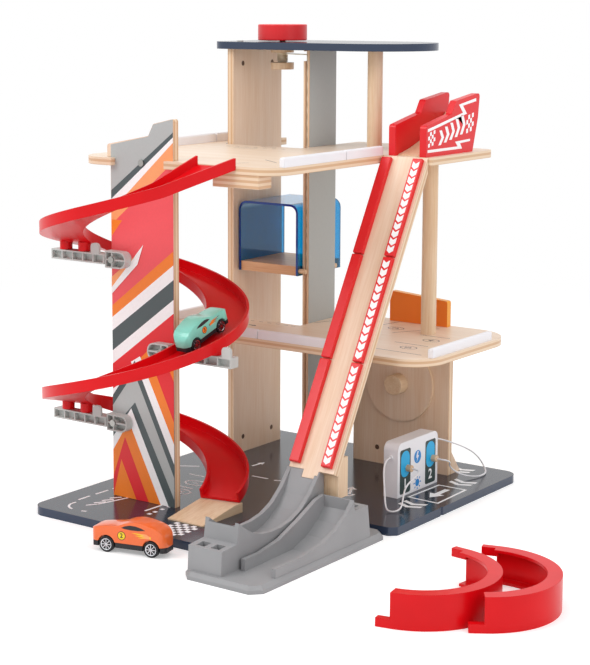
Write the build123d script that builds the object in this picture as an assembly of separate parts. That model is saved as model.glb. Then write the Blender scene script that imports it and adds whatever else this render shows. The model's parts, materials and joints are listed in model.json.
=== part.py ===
"""Toy parking garage with a lift, a spiral track, a ramp with a jump base, loop
halves, a charging station and two cars.  Millimetres, +Z up.  Pieces are laid out
from the base board's front-left corner and moved, when written, so that the origin
is the centre of the board's underside.  X runs along the board's front edge, Y to
its back edge."""
from build123d import *
import math
import os

# ---- sheet stock, dowels and running clearances --------------------------------
PLY = 9.0                 # plywood of decks, columns, walls
BOARD_T = 10.0            # base board
FIT = 0.3                 # gap beside a piece that slots into another
RUN = 0.08                # radial gap of a pin that turns in its hole
SEAT = 0.3                # gap between pieces that only stand near each other

# ---- base board ------------------------------------------------------------------
BASE_W, BASE_D, BASE_R = 390.0, 470.0, 18.0
NOTCH_GAP = 4.0           # board edge to jump base
NOTCH_CHAMFER = 8.0
SEAM_Y, SEAM_W = 281.0, 4.0

# ---- levels ------------------------------------------------------------------------
MID_Z = 184.0             # underside of the middle deck
UP_Z = 406.0              # underside of the upper deck
TOP_Z = 535.0             # underside of the helipad plate

# ---- lift boards, from the board's front-left corner --------------------------------
COL_L_X, COL_L_Y0, COL_L_W = 42.0, 326.0, 104.0
COL_R_X, COL_R_Y0, COL_R_W = 147.0, 343.0, 59.0
GROOVE_W, GROOVE_D = 4.0, 4.0
SHAFT_Y = 325.0           # front edge of the open lift shaft in both decks

# ---- upper deck --------------------------------------------------------------------
UP_X0, UP_X1, UP_Y0, UP_Y1 = 2.0, 290.0, 85.0, 455.0
UP_R_LEFT, UP_R_NEAR = 34.0, 32.0
LOBE_X1, LOBE_Y0, LOBE_R = 356.0, 303.0, 16.0
# ---- middle deck -------------------------------------------------------------------
MID_X0, MID_X1, MID_Y0, MID_Y1 = 2.0, 398.0, 222.0, 437.0
MID_R_LEFT, MID_R_NEAR, MID_R_FAR = 12.0, 42.0, 48.0
SMALL_R = 3.0

# ---- curb strips on the decks --------------------------------------------------------
RAIL_W, RAIL_H, RAIL_IN, RAIL_GAP, RAIL_R = 6.5, 11.0, 0.6, 1.6, 2.4
UP_RIGHT_START, UP_RIGHT_CUT = 18.0, 140.0        # from the upper deck's front edge
UP_LEFT_START, UP_LEFT_CUT = 58.0, 261.0
MID_FRONT_START, MID_FRONT_CUT, MID_FRONT_END = 60.0, 164.0, 284.0    # from its left edge
MID_RIGHT_START, MID_RIGHT_END, MID_LEFT_CUT = 25.2, 53.0, 108.0

# ---- helipad plate, posts -------------------------------------------------------------
PAD_X0, PAD_X1, PAD_Y0, PAD_W, PAD_R = 18.0, 301.0, 318.0, 140.0, 25.0
POST_D = 18.5
POST_UP = (237.0, 366.0)
POST_MID = (312.0, 375.0)

# ---- spiral panel ----------------------------------------------------------------------
PANEL_X0, PANEL_X1, PANEL_Y = 49.0, 143.0, 92.0
PANEL_EAR = 5.0
PANEL_SLOT_L, PANEL_SLOT_R = 7.0, 9.0
PANEL_TOP = (24.0, 36.0, 50.0, 57.0)      # heights above the upper deck's underside
PANEL_STEP_X = (57.0, 64.5)               # where the top edge steps, from PANEL_X0

# ---- spiral track ----------------------------------------------------------------------
TRACK_R, TRACK_W, TRACK_H, TRACK_WALL, TRACK_FLOOR = 96.0, 50.0, 13.0, 3.0, 3.0
TRACK_INNER_H = 12.0
TRACK_TOP_Z, TRACK_END_Z = 383.0, 22.0    # underside of the channel, top and bottom
TRACK_A_TOP, TRACK_A_END = -40.0, -708.0  # degrees, seen from above
ENTRY_X, ENTRY_W, ENTRY_STEP, ENTRY_H = 209.0, 56.0, 1.0, 13.0
ARM_DROP_L, ARM_DROP_R, ARM_W, ARM_H = 5.0, 9.0, 14.0, 12.0
ARM_REACH_L, ARM_REACH_R = 130.0, 139.0
ARM_BLOCK, ARM_BLOCK_T, ARM_BLOCK_H, POCKET_DEEP = 31.0, 12.0, 20.0, 8.0
RIB_T, RIB_N = 1.8, 5
BOSS_R, BOSS_IN, BOSS_OUT, SCREW_BOSS_R = 7.5, 12.0, 17.0, 4.5
TAB_T, TAB_W, TAB_H, TAB_GAP = 3.0, 13.0, 12.0, 3.5
TOP_BLOCK = (-5.0, 58.0, 24.0, 15.0)      # left and right of the entry, depth, height
WEDGE_Y0, WEDGE_Y1, WEDGE_FLAT, WEDGE_W, WEDGE_LIP = 52.0, 126.0, 14.0, 51.0, 1.5

# ---- garage wall, disc, orange board, brace ------------------------------------------------
WALL_X0, WALL_X1, WALL_Y = 185.0, 325.0, 405.0
DISC_R, DISC_T, DISC_Z = 48.5, 4.0, 119.0
DISC_X = 255.0
KNOB_R, KNOB_L = 13.0, 15.0
AXLE_R, AXLE_HEAD_R, AXLE_HEAD_T = 4.0, 8.0, 3.0
FENCE_X0, FENCE_X1, FENCE_BACK, FENCE_H0, FENCE_H1 = 226.0, 309.5, 4.0, 38.5, 32.5
BRACE_L, BRACE_H = 22.0, 28.0

# ---- lift ---------------------------------------------------------------------------------
CAB_GAP, CAB_Y0, CAB_D, CAB_Z, CAB_H = 2.0, 335.0, 96.0, 253.0, 90.0
CAB_T, CAB_R = 3.0, 12.0
FLOOR_T, PIN_R, PIN_GAP = 12.0, 3.0, 0.8
CRANK_X, CRANK_Y = 94.0, 372.0
CRANK_R, CRANK_H, CRANK_LIFT, CRANK_EDGE = 31.0, 20.0, 1.5, 1.5
SPINDLE_R, FLANGE_R, FLANGE_T, FLANGE_LOW_T, SPOOL_H = 4.0, 14.5, 4.5, 8.5, 12.6
CORE_R = 5.5
STRING_D, STRING_PITCH, STRING_LOOPS, STRING_LIFT = 1.3, 1.75, 6, 0.25
STRING_TURN = 5.0         # radius where the string bends down into the groove
GUIDE_H = 8.0             # notch that lets the string into the groove

# ---- ramp --------------------------------------------------------------------------------
RAMP_X0, RAMP_W, RAMP_FOOT_Y, RAMP_FOOT_Z = 291.0, 60.0, 112.0, 80.0
RAMP_RAIL_W, RAMP_RAIL_H, RAMP_RAIL_IN_L, RAMP_RAIL_IN_R = 12.0, 6.0, 1.5, 4.0
RAMP_RAIL_CUTS = (0.335, 0.67)
TONGUE_W, TONGUE_L = 20.0, 9.0
PROP_Y0, PROP_Y1, PROP_Z0, PROP_Z1, PROP_IN = 121.0, 140.0, 50.0, 95.0, 5.0

# ---- start gate ----------------------------------------------------------------------------
GATE_X_L, GATE_LANE = 296.5, 33.0
GATE_X_R = GATE_X_L + PLY + GATE_LANE
GATE_PROFILE = ((0.0, 0.0), (0.0, 36.0), (58.0, 47.5), (68.0, 62.5), (124.0, 70.0),
                (120.0, 40.0), (108.0, 0.0))      # along Y, up from the deck
GATE_SET = 1.0
CHUTE_GAP = 0.5
CHUTE_L, CHUTE_H, CHUTE_SAG = 108.0, 46.0, 6.0

# ---- jump base -----------------------------------------------------------------------------
JUMP_X0, JUMP_X1, JUMP_Y0, JUMP_Y1 = 284.0, 385.0, -76.0, 172.0
JUMP_T, JUMP_BEVEL, JUMP_CHAMFER = 8.0, 4.0, 11.0
LANE_A_X, LANE_B_X, LANE_W, LANE_WALL = 289.0, 336.5, 44.0, 5.0
LANE_EDGE = 13.0          # wall above the running floor
LANE_SKIN = 4.0
LANE_A = ((112.0, 81.0), (95.0, 60.5), (77.0, 46.5), (58.0, 38.5), (38.0, 35.0),
          (20.0, 34.5), (4.0, 36.5), (-11.0, 41.0), (-23.0, 47.5), (-37.0, 57.5))
LANE_A_FLOOR = ((107.5, 72.2), (97.0, 54.0), (84.0, 40.0), (70.0, 30.5), (54.0, 24.0), (38.0, 21.5),
                (20.0, 21.5), (4.0, 23.5), (-11.0, 28.0), (-23.0, 34.5), (-36.5, 44.5))
LANE_B = ((108.0, 57.0), (95.0, 44.0), (75.0, 32.0), (47.0, 23.0), (10.0, 18.5), (-38.0, 18.0))
LANE_B_LEFT = ((108.0, 57.0), (93.0, 54.0), (61.0, 40.0), (24.0, 26.5), (-12.0, 21.0), (-38.0, 21.0))
NOSE_Y0, NOSE_Z = -68.0, 36.0
TAIL_A_Y, TAIL_B_Y, TAIL_B_Z = 143.0, 142.0, 45.0
SOCKET_W, SOCKET_L, SOCKET_DEEP = 11.0, 12.0, 14.0

# ---- loop halves ---------------------------------------------------------------------------
LOOP_R, LOOP_W, LOOP_WALL, LOOP_H = 82.0, 36.0, 3.0, 15.0
LOOP_ARC = 163.0
LOOP_TIP_W, LOOP_TIP_L, LOOP_TIP_T = 9.0, 15.0, 8.0
LOOP_A = (524.0, 8.5, -79.0)      # centre x, y and the angle of its near end
LOOP_B = (574.0, 39.5, -57.0)

# ---- charging station ------------------------------------------------------------------------
CH_X, CH_T, CH_Y0, CH_W, CH_H, CH_R = 329.5, 19.5, 280.0, 92.0, 66.0, 9.0
PLUG_R, PLUG_L, PLUG_IN, PLUG_Z = 4.2, 15.0, 8.0, 33.0
PLUG_Y = (21.7, 79.8)
CORD_D, GLAND_R, GLAND_T = 2.0, 3.0, 1.5
GLAND_Z = (48.6, 52.0)

# ---- cars ---------------------------------------------------------------------------------------
CAR_W, CAR_BASE, CAR_AXLE = 26.0, 54.0, 2.0
WHEEL_R, WHEEL_W, WHEEL_GAP = 9.0, 5.0, 0.5
CAR_FLOOR_Z, CAR_FLOOR_T = 6.0, 6.0
CAR_SIDE = ((-17.5, 12.0, 0.0), (-18.5, 25.5, 2.5), (-5.0, 28.9, 8.0), (14.0, 31.0, 10.0),
            (26.0, 36.6, 8.0), (40.0, 37.3, 10.0), (63.0, 32.0, 8.0), (70.5, 24.0, 5.0),
            (72.0, 15.5, 2.0), (71.5, 12.0, 0.0))       # from the rear axle, up, radius
CAR_TAIL_R, CAR_NOSE_R = 6.0, 9.0
CAR_A = (190.0, -38.0, 13.85)
CAR_B_R, CAR_B_ANGLE, CAR_B_RAISE, CAR_B_SIZE = 88.0, -362.0, 1.4, 0.85    # the smaller car

# ---- fasteners -----------------------------------------------------------------------------------
NUT_R, NUT_IN, NUT_TOP_IN = 3.2, 20.5, 18.5
WALL_FOOT, PANEL_FOOT_L, PANEL_FOOT_R = 36.0, 13.0, 16.0   # bolt to board edge
BOLT_R, BOLT_HEAD_R, BOLT_HEAD_T = 2.0, 4.0, 2.0

BOARD_TOP = BOARD_T
MID_TOP = MID_Z + PLY
UP_TOP = UP_Z + PLY
HUB = (0.5 * (PANEL_X0 + PANEL_X1), PANEL_Y + 0.5 * PLY)
PITCH = (TRACK_TOP_Z - TRACK_END_Z) * 360.0 / (TRACK_A_TOP - TRACK_A_END)


def track_z(angle):
    """Underside of the spiral channel at an angle in degrees."""
    return TRACK_TOP_Z - PITCH * (TRACK_A_TOP - angle) / 360.0


# ---- shape helpers -----------------------------------------------------------------------
def block(x0, x1, y0, y1, z0, z1):
    return Pos((x0 + x1) / 2, (y0 + y1) / 2, (z0 + z1) / 2) * Box(x1 - x0, y1 - y0, z1 - z0)


def rod(x, y, z0, z1, r):
    return Pos(x, y, (z0 + z1) / 2) * Cylinder(r, z1 - z0)


def rod_x(x0, x1, y, z, r):
    return Pos((x0 + x1) / 2, y, z) * Rot(0, 90, 0) * Cylinder(r, x1 - x0)


def rod_y(x, y0, y1, z, r):
    return Pos(x, (y0 + y1) / 2, z) * Rot(90, 0, 0) * Cylinder(r, y1 - y0)


def outline(corners):
    """Closed face from (u, v, radius) corners, each rounded by its own radius."""
    n = len(corners)
    starts, ends, mids = [], [], []
    for i in range(n):
        u, v, r = corners[i]
        p = Vector(u, v)
        a = (Vector(*corners[i - 1][:2]) - p).normalized()
        b = (Vector(*corners[(i + 1) % n][:2]) - p).normalized()
        if r <= 0:
            starts.append(p), ends.append(p), mids.append(None)
            continue
        half = math.radians(a.get_angle(b)) / 2
        run = r / math.tan(half)
        centre = p + (a + b).normalized() * (r / math.sin(half))
        starts.append(p + a * run), ends.append(p + b * run)
        mids.append(centre + (p - centre).normalized() * r)
    edges = []
    for i in range(n):
        if mids[i] is not None:
            edges.append(Edge.make_three_point_arc(starts[i], mids[i], ends[i]))
        nxt = starts[(i + 1) % n]
        if (nxt - ends[i]).length > 1e-6:
            edges.append(Edge.make_line(ends[i], nxt))
    return Face(Wire(edges))


def slab(corners, z0, z1):
    return extrude(Pos(0, 0, z0) * outline(corners), z1 - z0, dir=(0, 0, 1))


def profile_yz(points, x0, x1):
    """Prism along X from (y, z) points or (y, z, radius) corners."""
    pts = [tuple(p) + (0.0,) * (3 - len(p)) for p in points]
    pl = Plane(origin=(x0, 0, 0), x_dir=(0, 1, 0), z_dir=(1, 0, 0))
    return extrude(pl * outline(pts), x1 - x0, dir=(1, 0, 0))


def profile_xz(points, y0, y1):
    """Prism along Y from (x, z) points or (x, z, radius) corners."""
    pts = [tuple(p) + (0.0,) * (3 - len(p)) for p in points]
    pl = Plane(origin=(0, y0, 0), x_dir=(1, 0, 0), z_dir=(0, -1, 0))
    return extrude(pl * outline(pts), y1 - y0, dir=(0, 1, 0))


NODES = {}


def put(name, shape):
    NODES[name] = shape


# ---- base board ----------------------------------------------------------------------------
def make_base():
    nx, ny = JUMP_X0 - NOTCH_GAP, JUMP_Y1 + NOTCH_GAP
    board = slab([(0, 0, BASE_R), (nx, 0, SMALL_R), (nx, ny, SMALL_R),
                  (BASE_W - NOTCH_CHAMFER, ny, SMALL_R), (BASE_W, ny + NOTCH_CHAMFER, SMALL_R),
                  (BASE_W, BASE_D, BASE_R), (0, BASE_D, BASE_R)], 0, BOARD_T)
    board -= Pos(BASE_W, SEAM_Y, BOARD_T / 2) * Rot(0, 0, 45) * Box(SEAM_W, SEAM_W, BOARD_T)
    for x, y in barrel_feet():
        board -= rod(x, y, 0, BOARD_T, BOLT_R + RUN)
        board -= rod(x, y, 0, BOLT_HEAD_T, BOLT_HEAD_R + RUN)
    put("base_board", board)


# ---- decks ---------------------------------------------------------------------------------
def shaft_corners(y1):
    """The open lift shaft, seen from the back edge, with both lift boards in it."""
    x0, x1 = COL_L_X - FIT, COL_R_X + PLY + FIT
    return [(x1, y1, 0), (x1, SHAFT_Y, 0), (x0, SHAFT_Y, 0), (x0, y1, 0)]


def make_decks():
    slot_x0 = PANEL_X0 + PANEL_SLOT_L - FIT
    slot_x1 = PANEL_X1 - PANEL_SLOT_R + FIT
    slot_y = PANEL_Y + PLY
    up = slab([(UP_X0, UP_Y0, UP_R_LEFT), (slot_x0, UP_Y0, 0), (slot_x0, slot_y, 0),
               (slot_x1, slot_y, 0), (slot_x1, UP_Y0, 0), (UP_X1, UP_Y0, UP_R_NEAR),
               (UP_X1, LOBE_Y0, 0), (LOBE_X1, LOBE_Y0, SMALL_R),
               (LOBE_X1, UP_Y1, LOBE_R)] + shaft_corners(UP_Y1) + [(UP_X0, UP_Y1, LOBE_R)],
              UP_Z, UP_TOP)
    put("upper_deck", up)
    mid = slab([(MID_X0, MID_Y0, MID_R_LEFT), (MID_X1, MID_Y0, MID_R_NEAR),
                (MID_X1, MID_Y1, MID_R_FAR)] + shaft_corners(MID_Y1)
               + [(MID_X0, MID_Y1, MID_R_LEFT)], MID_Z, MID_TOP)
    put("middle_deck", mid)


def curb(x0, x1, y0, y1, z):
    """A curb strip with its top edges rounded."""
    body = block(x0, x1, y0, y1, z, z + RAIL_H)
    top = body.edges().filter_by(lambda e: abs(e.center().Z - z - RAIL_H) < 1e-3)
    return fillet(top, RAIL_R)


def make_rails():
    side = UP_X1 - RAIL_IN
    cut = UP_Y0 + UP_RIGHT_CUT
    left = UP_X0 + RAIL_IN
    left_cut = UP_Y0 + UP_LEFT_CUT
    put("upper_rails", Compound(children=[
        curb(side - RAIL_W, side, UP_Y0 + UP_RIGHT_START, cut - RAIL_GAP / 2, UP_TOP),
        curb(side - RAIL_W, side, cut + RAIL_GAP / 2, LOBE_Y0 - FIT, UP_TOP),
        curb(left, left + RAIL_W, UP_Y0 + UP_LEFT_START, left_cut - RAIL_GAP, UP_TOP),
        curb(left, left + RAIL_W, left_cut, UP_Y1 - LOBE_R, UP_TOP)]))
    front = MID_Y0 + RAIL_IN
    right = MID_X1 - RAIL_IN - SMALL_R
    left = MID_X0 + RAIL_IN
    cut_x = MID_X0 + MID_FRONT_CUT
    left_cut = MID_Y0 + MID_LEFT_CUT
    put("middle_rails", Compound(children=[
        curb(MID_X0 + MID_FRONT_START, cut_x - RAIL_GAP, front, front + RAIL_W, MID_TOP),
        curb(cut_x, MID_X0 + MID_FRONT_END, front, front + RAIL_W, MID_TOP),
        curb(right - RAIL_W, right, MID_Y0 + MID_RIGHT_START, MID_Y1 - MID_RIGHT_END, MID_TOP),
        curb(left, left + RAIL_W, MID_Y0 + MID_R_LEFT, left_cut - RAIL_GAP, MID_TOP),
        curb(left, left + RAIL_W, left_cut, MID_Y1 - MID_R_LEFT, MID_TOP)]))


# ---- lift boards, posts, helipad plate ---------------------------------------------------------
def barrel_feet():
    """Where bolts come up through the base board into the standing boards."""
    feet = [(COL_L_X + PLY / 2, COL_L_Y0 + NUT_IN), (COL_L_X + PLY / 2, COL_L_Y0 + COL_L_W - NUT_IN)]
    feet += [(WALL_X0 + WALL_FOOT, WALL_Y + PLY / 2)]
    feet += [(PANEL_X0 + PANEL_FOOT_L, PANEL_Y + PLY / 2), (PANEL_X1 - PANEL_FOOT_R, PANEL_Y + PLY / 2)]
    return feet


def make_columns():
    left = block(COL_L_X, COL_L_X + PLY, COL_L_Y0, COL_L_Y0 + COL_L_W, BOARD_TOP, TOP_Z)
    for y in (COL_L_Y0 + NUT_IN, COL_L_Y0 + COL_L_W - NUT_IN):
        x = COL_L_X + PLY / 2
        for z0, z1, zn in ((BOARD_TOP, BOARD_TOP + NUT_IN + NUT_R, BOARD_TOP + NUT_IN),
                           (TOP_Z - NUT_TOP_IN - NUT_R, TOP_Z, TOP_Z - NUT_TOP_IN)):
            left -= rod(x, y, z0, z1, BOLT_R + RUN)
            left -= rod_x(COL_L_X, COL_L_X + PLY, y, zn, NUT_R + RUN)
    put("lift_board_left", left)
    right = block(COL_R_X, COL_R_X + PLY, COL_R_Y0, COL_R_Y0 + COL_R_W, BOARD_TOP, TOP_Z)
    mid_x = COL_R_X + PLY / 2
    right -= block(mid_x - GROOVE_W / 2, mid_x + GROOVE_W / 2, COL_R_Y0, COL_R_Y0 + GROOVE_D,
                   BOARD_TOP, TOP_Z)
    level = string_level(TOP_Z - SEAT - FLANGE_T - SPOOL_H) + STRING_PITCH * STRING_LOOPS
    right -= block(COL_R_X, mid_x, COL_R_Y0, COL_R_Y0 + GROOVE_D + 2 * STRING_D,
                   level - GUIDE_H, level + GUIDE_H / 2)
    put("lift_board_right", right)
    put("upper_post", rod(*POST_UP, UP_TOP, TOP_Z, POST_D / 2))
    put("middle_post", rod(*POST_MID, MID_TOP, UP_Z, POST_D / 2))


def make_pad():
    y1 = PAD_Y0 + PAD_W
    big = PAD_W / 2 - 0.5
    pad = slab([(PAD_X0, PAD_Y0, PAD_R), (PAD_X1, PAD_Y0, big), (PAD_X1, y1, big),
                (PAD_X0, y1, PAD_R)], TOP_Z, TOP_Z + PLY)
    pad -= rod(CRANK_X, CRANK_Y, TOP_Z, TOP_Z + PLY, SPINDLE_R + RUN)
    for y in (COL_L_Y0 + NUT_IN, COL_L_Y0 + COL_L_W - NUT_IN):
        pad -= rod(COL_L_X + PLY / 2, y, TOP_Z, TOP_Z + PLY, BOLT_R + RUN)
    put("helipad_plate", pad)


def make_fasteners():
    """Bolts and barrel nuts of the standing boards, each a solid of its own."""
    bolts, nuts = [], []
    for x, y in barrel_feet():
        bolts.append(rod(x, y, BOLT_HEAD_T / 2, BOARD_TOP + NUT_IN - NUT_R, BOLT_R)
                     + rod(x, y, 0.2, BOLT_HEAD_T, BOLT_HEAD_R))
    for y in (COL_L_Y0 + NUT_IN, COL_L_Y0 + COL_L_W - NUT_IN):
        x = COL_L_X + PLY / 2
        bolts.append(rod(x, y, TOP_Z - NUT_TOP_IN + NUT_R, TOP_Z + PLY + BOLT_HEAD_T / 2, BOLT_R)
                     + rod(x, y, TOP_Z + PLY, TOP_Z + PLY + BOLT_HEAD_T / 2, BOLT_HEAD_R))
        nuts.append(rod_x(COL_L_X, COL_L_X + PLY - 0.5, y, BOARD_TOP + NUT_IN, NUT_R))
        nuts.append(rod_x(COL_L_X, COL_L_X + PLY - 0.5, y, TOP_Z - NUT_TOP_IN, NUT_R))
    for x, y in barrel_feet()[2:]:
        nuts.append(rod_y(x, y - PLY / 2 + 0.5, y + PLY / 2, BOARD_TOP + NUT_IN, NUT_R))
    bolts.append(rod_y(HUB[0], PANEL_Y, PANEL_Y + PLY, UP_Z + PLY / 2, BOLT_R)
                 + rod_y(HUB[0], PANEL_Y - BOLT_HEAD_T, PANEL_Y, UP_Z + PLY / 2, BOLT_HEAD_R))
    put("frame_bolts", Compound(children=bolts))
    put("barrel_nuts", Compound(children=nuts))


# ---- spiral panel and its brackets ---------------------------------------------------------------
def make_panel():
    xl, xr = PANEL_X0, PANEL_X1
    t = [UP_Z + h for h in PANEL_TOP]
    slot0, slot1 = UP_Z - FIT, UP_TOP + FIT
    pts = [(xl, BOARD_TOP), (xl, slot0), (xl + PANEL_SLOT_L, slot0), (xl + PANEL_SLOT_L, slot1),
           (xl - PANEL_EAR, slot1), (xl - PANEL_EAR, t[0], SMALL_R), (xl + PANEL_STEP_X[0], t[1], SMALL_R),
           (xl + PANEL_STEP_X[1], t[2], SMALL_R), (xr, t[3], SMALL_R), (xr, slot1),
           (xr - PANEL_SLOT_R, slot1), (xr - PANEL_SLOT_R, slot0), (xr, slot0), (xr, BOARD_TOP)]
    panel = profile_xz(pts, PANEL_Y, PANEL_Y + PLY)
    for x, y in barrel_feet()[3:]:
        panel -= rod(x, y, BOARD_TOP, BOARD_TOP + NUT_IN + NUT_R, BOLT_R + RUN)
        panel -= rod_y(x, PANEL_Y, PANEL_Y + PLY, BOARD_TOP + NUT_IN, NUT_R + RUN)
    panel -= rod_y(HUB[0], PANEL_Y, PANEL_Y + PLY, UP_Z + PLY / 2, BOLT_R + RUN)
    for side, angle in BRACKETS:
        x, z = bracket_screw(side, angle)
        panel -= rod_y(x, PANEL_Y, PANEL_Y + PLY, z, BOLT_R + RUN)
    put("spiral_panel", panel)


BRACKETS = ((-1, -180.0), (1, -360.0), (-1, -540.0))


def bracket_top(side, angle):
    return track_z(angle) - (ARM_DROP_L if side < 0 else ARM_DROP_R)


def bracket_screw(side, angle):
    edge = PANEL_X0 if side < 0 else PANEL_X1
    return edge - side * ARM_BLOCK * 0.33, bracket_top(side, angle) - ARM_H / 2


def pocket_form(x0, x1, z0, z1, corners, sx, sz):
    """Hollow front of a bracket's block: four pockets round the screw boss."""
    t, y0 = RIB_T, PANEL_Y - ARM_BLOCK_T
    r = [max(c - t, 0) for c in corners]
    hollow = profile_xz([(x0 + t, z0 + t, r[0]), (x0 + t, z1 - t, r[1]), (x1 - t, z1 - t, r[2]),
                         (x1 - t, z0 + t, r[3])], y0, y0 + POCKET_DEEP)
    hollow -= block(x0, x1, y0, y0 + POCKET_DEEP, sz - t / 2, sz + t / 2)
    hollow -= block(sx - t / 2, sx + t / 2, y0, y0 + POCKET_DEEP, z0, z1)
    return hollow - rod_y(sx, y0, y0 + POCKET_DEEP, sz, SCREW_BOSS_R)


def make_bracket(side, angle):
    """Ribbed arm that carries the track, screwed on the panel's front face."""
    top = bracket_top(side, angle)
    edge = PANEL_X0 if side < 0 else PANEL_X1
    y1 = PANEL_Y
    y0 = y1 - ARM_W
    xe = HUB[0] + side * (ARM_REACH_L if side < 0 else ARM_REACH_R)
    xb = edge - side * ARM_BLOCK
    lo, hi = sorted((xe, edge))
    mid = (y0 + y1) / 2
    arm = block(lo, hi, mid - RIB_T / 2, mid + RIB_T / 2, top - ARM_H, top)
    arm += block(lo, hi, y0, y1, top - RIB_T, top)
    arm += block(lo, hi, y0, y1, top - ARM_H, top - ARM_H + RIB_T)
    for i in range(RIB_N + 1):
        x = lo + (hi - lo - RIB_T) * i / RIB_N
        arm += block(x, x + RIB_T, y0, y1, top - ARM_H, top)
    b0, b1 = sorted((edge, xb))
    z0, z1 = top - ARM_H / 2 - ARM_BLOCK_H / 2, top - ARM_H / 2 + ARM_BLOCK_H / 2
    inner = (b1 if side < 0 else b0)
    r = ARM_BLOCK_H / 2 - 0.5
    rr = [0, 0, r, r] if side < 0 else [r, r, 0, 0]
    blk = profile_xz([(b0, z0, rr[0]), (b0, z1, rr[1]), (b1, z1, rr[2]), (b1, z0, rr[3])],
                     y1 - ARM_BLOCK_T, y1)
    sx, sz = bracket_screw(side, angle)
    blk -= pocket_form(b0, b1, z0, z1, rr, sx, sz)
    arm += blk
    arm -= rod_y(sx, y1 - ARM_BLOCK_T, y1, sz, BOLT_R + RUN)
    tx = HUB[0] - TRACK_R + TRACK_W / 2 + TAB_GAP + TAB_W / 2 if side < 0 else xe - TAB_W / 2
    tab = profile_xz([(tx - TAB_W / 2, top - 1.0), (tx - TAB_W / 2, top + TAB_H, 5.0),
                      (tx + TAB_W / 2, top + TAB_H, 5.0), (tx + TAB_W / 2, top - 1.0)],
                     y0, y0 + TAB_T)
    return arm + tab


def make_brackets():
    names = ("bracket_upper", "bracket_middle", "bracket_lower")
    screws = []
    for name, (side, angle) in zip(names, BRACKETS):
        put(name, make_bracket(side, angle))
        x, z = bracket_screw(side, angle)
        y0 = PANEL_Y - ARM_BLOCK_T
        screws.append(rod_y(x, y0, PANEL_Y + PLY, z, BOLT_R) + rod_y(x, y0 - BOLT_HEAD_T, y0, z, BOLT_HEAD_R))
    put("bracket_screws", Compound(children=screws))


# ---- spiral track --------------------------------------------------------------------------------
def channel_points(width, inner_h, outer_h):
    """U section: u grows outwards, v up, from the channel's underside centre."""
    w = width / 2
    return [(-w, 0), (w, 0), (w, outer_h), (w - TRACK_WALL, outer_h), (w - TRACK_WALL, TRACK_FLOOR),
            (-w + TRACK_WALL, TRACK_FLOOR), (-w + TRACK_WALL, inner_h), (-w, inner_h)]


def polar(radius, angle, z):
    a = math.radians(angle)
    return Vector(HUB[0] + radius * math.cos(a), HUB[1] + radius * math.sin(a), z)


def make_section(a0, a1):
    """Channel from the lower angle a0 up to a1, as a helical sweep."""
    height = PITCH * (a1 - a0) / 360.0
    path = Edge.make_helix(PITCH, height, TRACK_R)
    path = Pos(HUB[0], HUB[1], track_z(a0)) * Rot(0, 0, a0) * path
    start = path.position_at(0)
    tangent = path.tangent_at(0)
    radial = (Vector(start.X, start.Y) - Vector(*HUB)).normalized()
    pl = Plane(origin=start, x_dir=radial, z_dir=tangent)
    up_sign = 1.0 if pl.y_dir.Z > 0 else -1.0
    pts = [(u, up_sign * v) for u, v in channel_points(TRACK_W, TRACK_INNER_H, TRACK_H)]
    face = pl * Face(Wire.make_polygon([Vector(u, v) for u, v in pts], close=True))
    return sweep(face, path=path, is_frenet=True)


def end_frame(angle):
    """Origin, outward and up directions of the channel section at an angle."""
    a = math.radians(angle)
    radial = Vector(math.cos(a), math.sin(a), 0)
    slope = PITCH / 360.0 / math.radians(1) / TRACK_R
    along = Vector(-math.sin(a), math.cos(a), slope).normalized()
    return polar(TRACK_R, angle, track_z(angle)), radial, along.cross(radial) * -1.0


def make_track():
    upper = make_section(-180.0, TRACK_A_TOP)
    o, radial, up = end_frame(TRACK_A_TOP)
    lower_ring = [o + radial * u + up * v for u, v in channel_points(TRACK_W, TRACK_INNER_H, TRACK_H)]
    y = UP_Y0 - FIT
    z = UP_TOP - ENTRY_STEP - TRACK_FLOOR
    upper_ring = [Vector(ENTRY_X + u, y, z + v) for u, v in channel_points(ENTRY_W, ENTRY_H, ENTRY_H)]
    entry = Solid.make_loft([Wire.make_polygon(lower_ring, close=True),
                             Wire.make_polygon(upper_ring, close=True)], ruled=True)
    upper = upper + entry
    seconds = [(-360.0, -180.0), (-540.0, -360.0), (TRACK_A_END, -540.0)]
    sections = [upper] + [make_section(a0, a1) for a0, a1 in seconds]
    names = ("track_upper", "track_second", "track_third", "track_exit")
    for i, (side, angle) in enumerate(BRACKETS):
        top = bracket_top(side, angle)
        y = PANEL_Y - ARM_W / 2
        for r in (TRACK_R - BOSS_IN, TRACK_R + BOSS_OUT):
            x = HUB[0] + side * math.sqrt(r * r - (HUB[1] - y) ** 2)
            swing = math.degrees(math.atan2(HUB[1] - y, abs(x - HUB[0])))
            a = angle + (swing if side < 0 else -swing)
            owner = i if side < 0 else i + 1
            boss = rod(x, y, top + SEAT, track_z(a) + TRACK_FLOOR - 1.0, BOSS_R)
            sections[owner] = sections[owner] + boss
    for name, shape in zip(names, sections):
        put(name, shape)
    left, right, deep, high = TOP_BLOCK
    put("spiral_top_block", block(ENTRY_X + left, ENTRY_X + right, UP_Y0 + 1.0, UP_Y0 + 1.0 + deep,
                                  UP_Z - high, UP_Z))
    end = polar(TRACK_R, TRACK_A_END, 0)
    top = track_z(TRACK_A_END) - SEAT - 0.5
    put("exit_wedge", profile_yz([(WEDGE_Y0, BOARD_TOP), (WEDGE_Y0, BOARD_TOP + WEDGE_LIP),
                                  (WEDGE_Y1 - WEDGE_FLAT, top), (WEDGE_Y1, top),
                                  (WEDGE_Y1, BOARD_TOP)],
                                 end.X - WEDGE_W / 2, end.X + WEDGE_W / 2))


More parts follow.
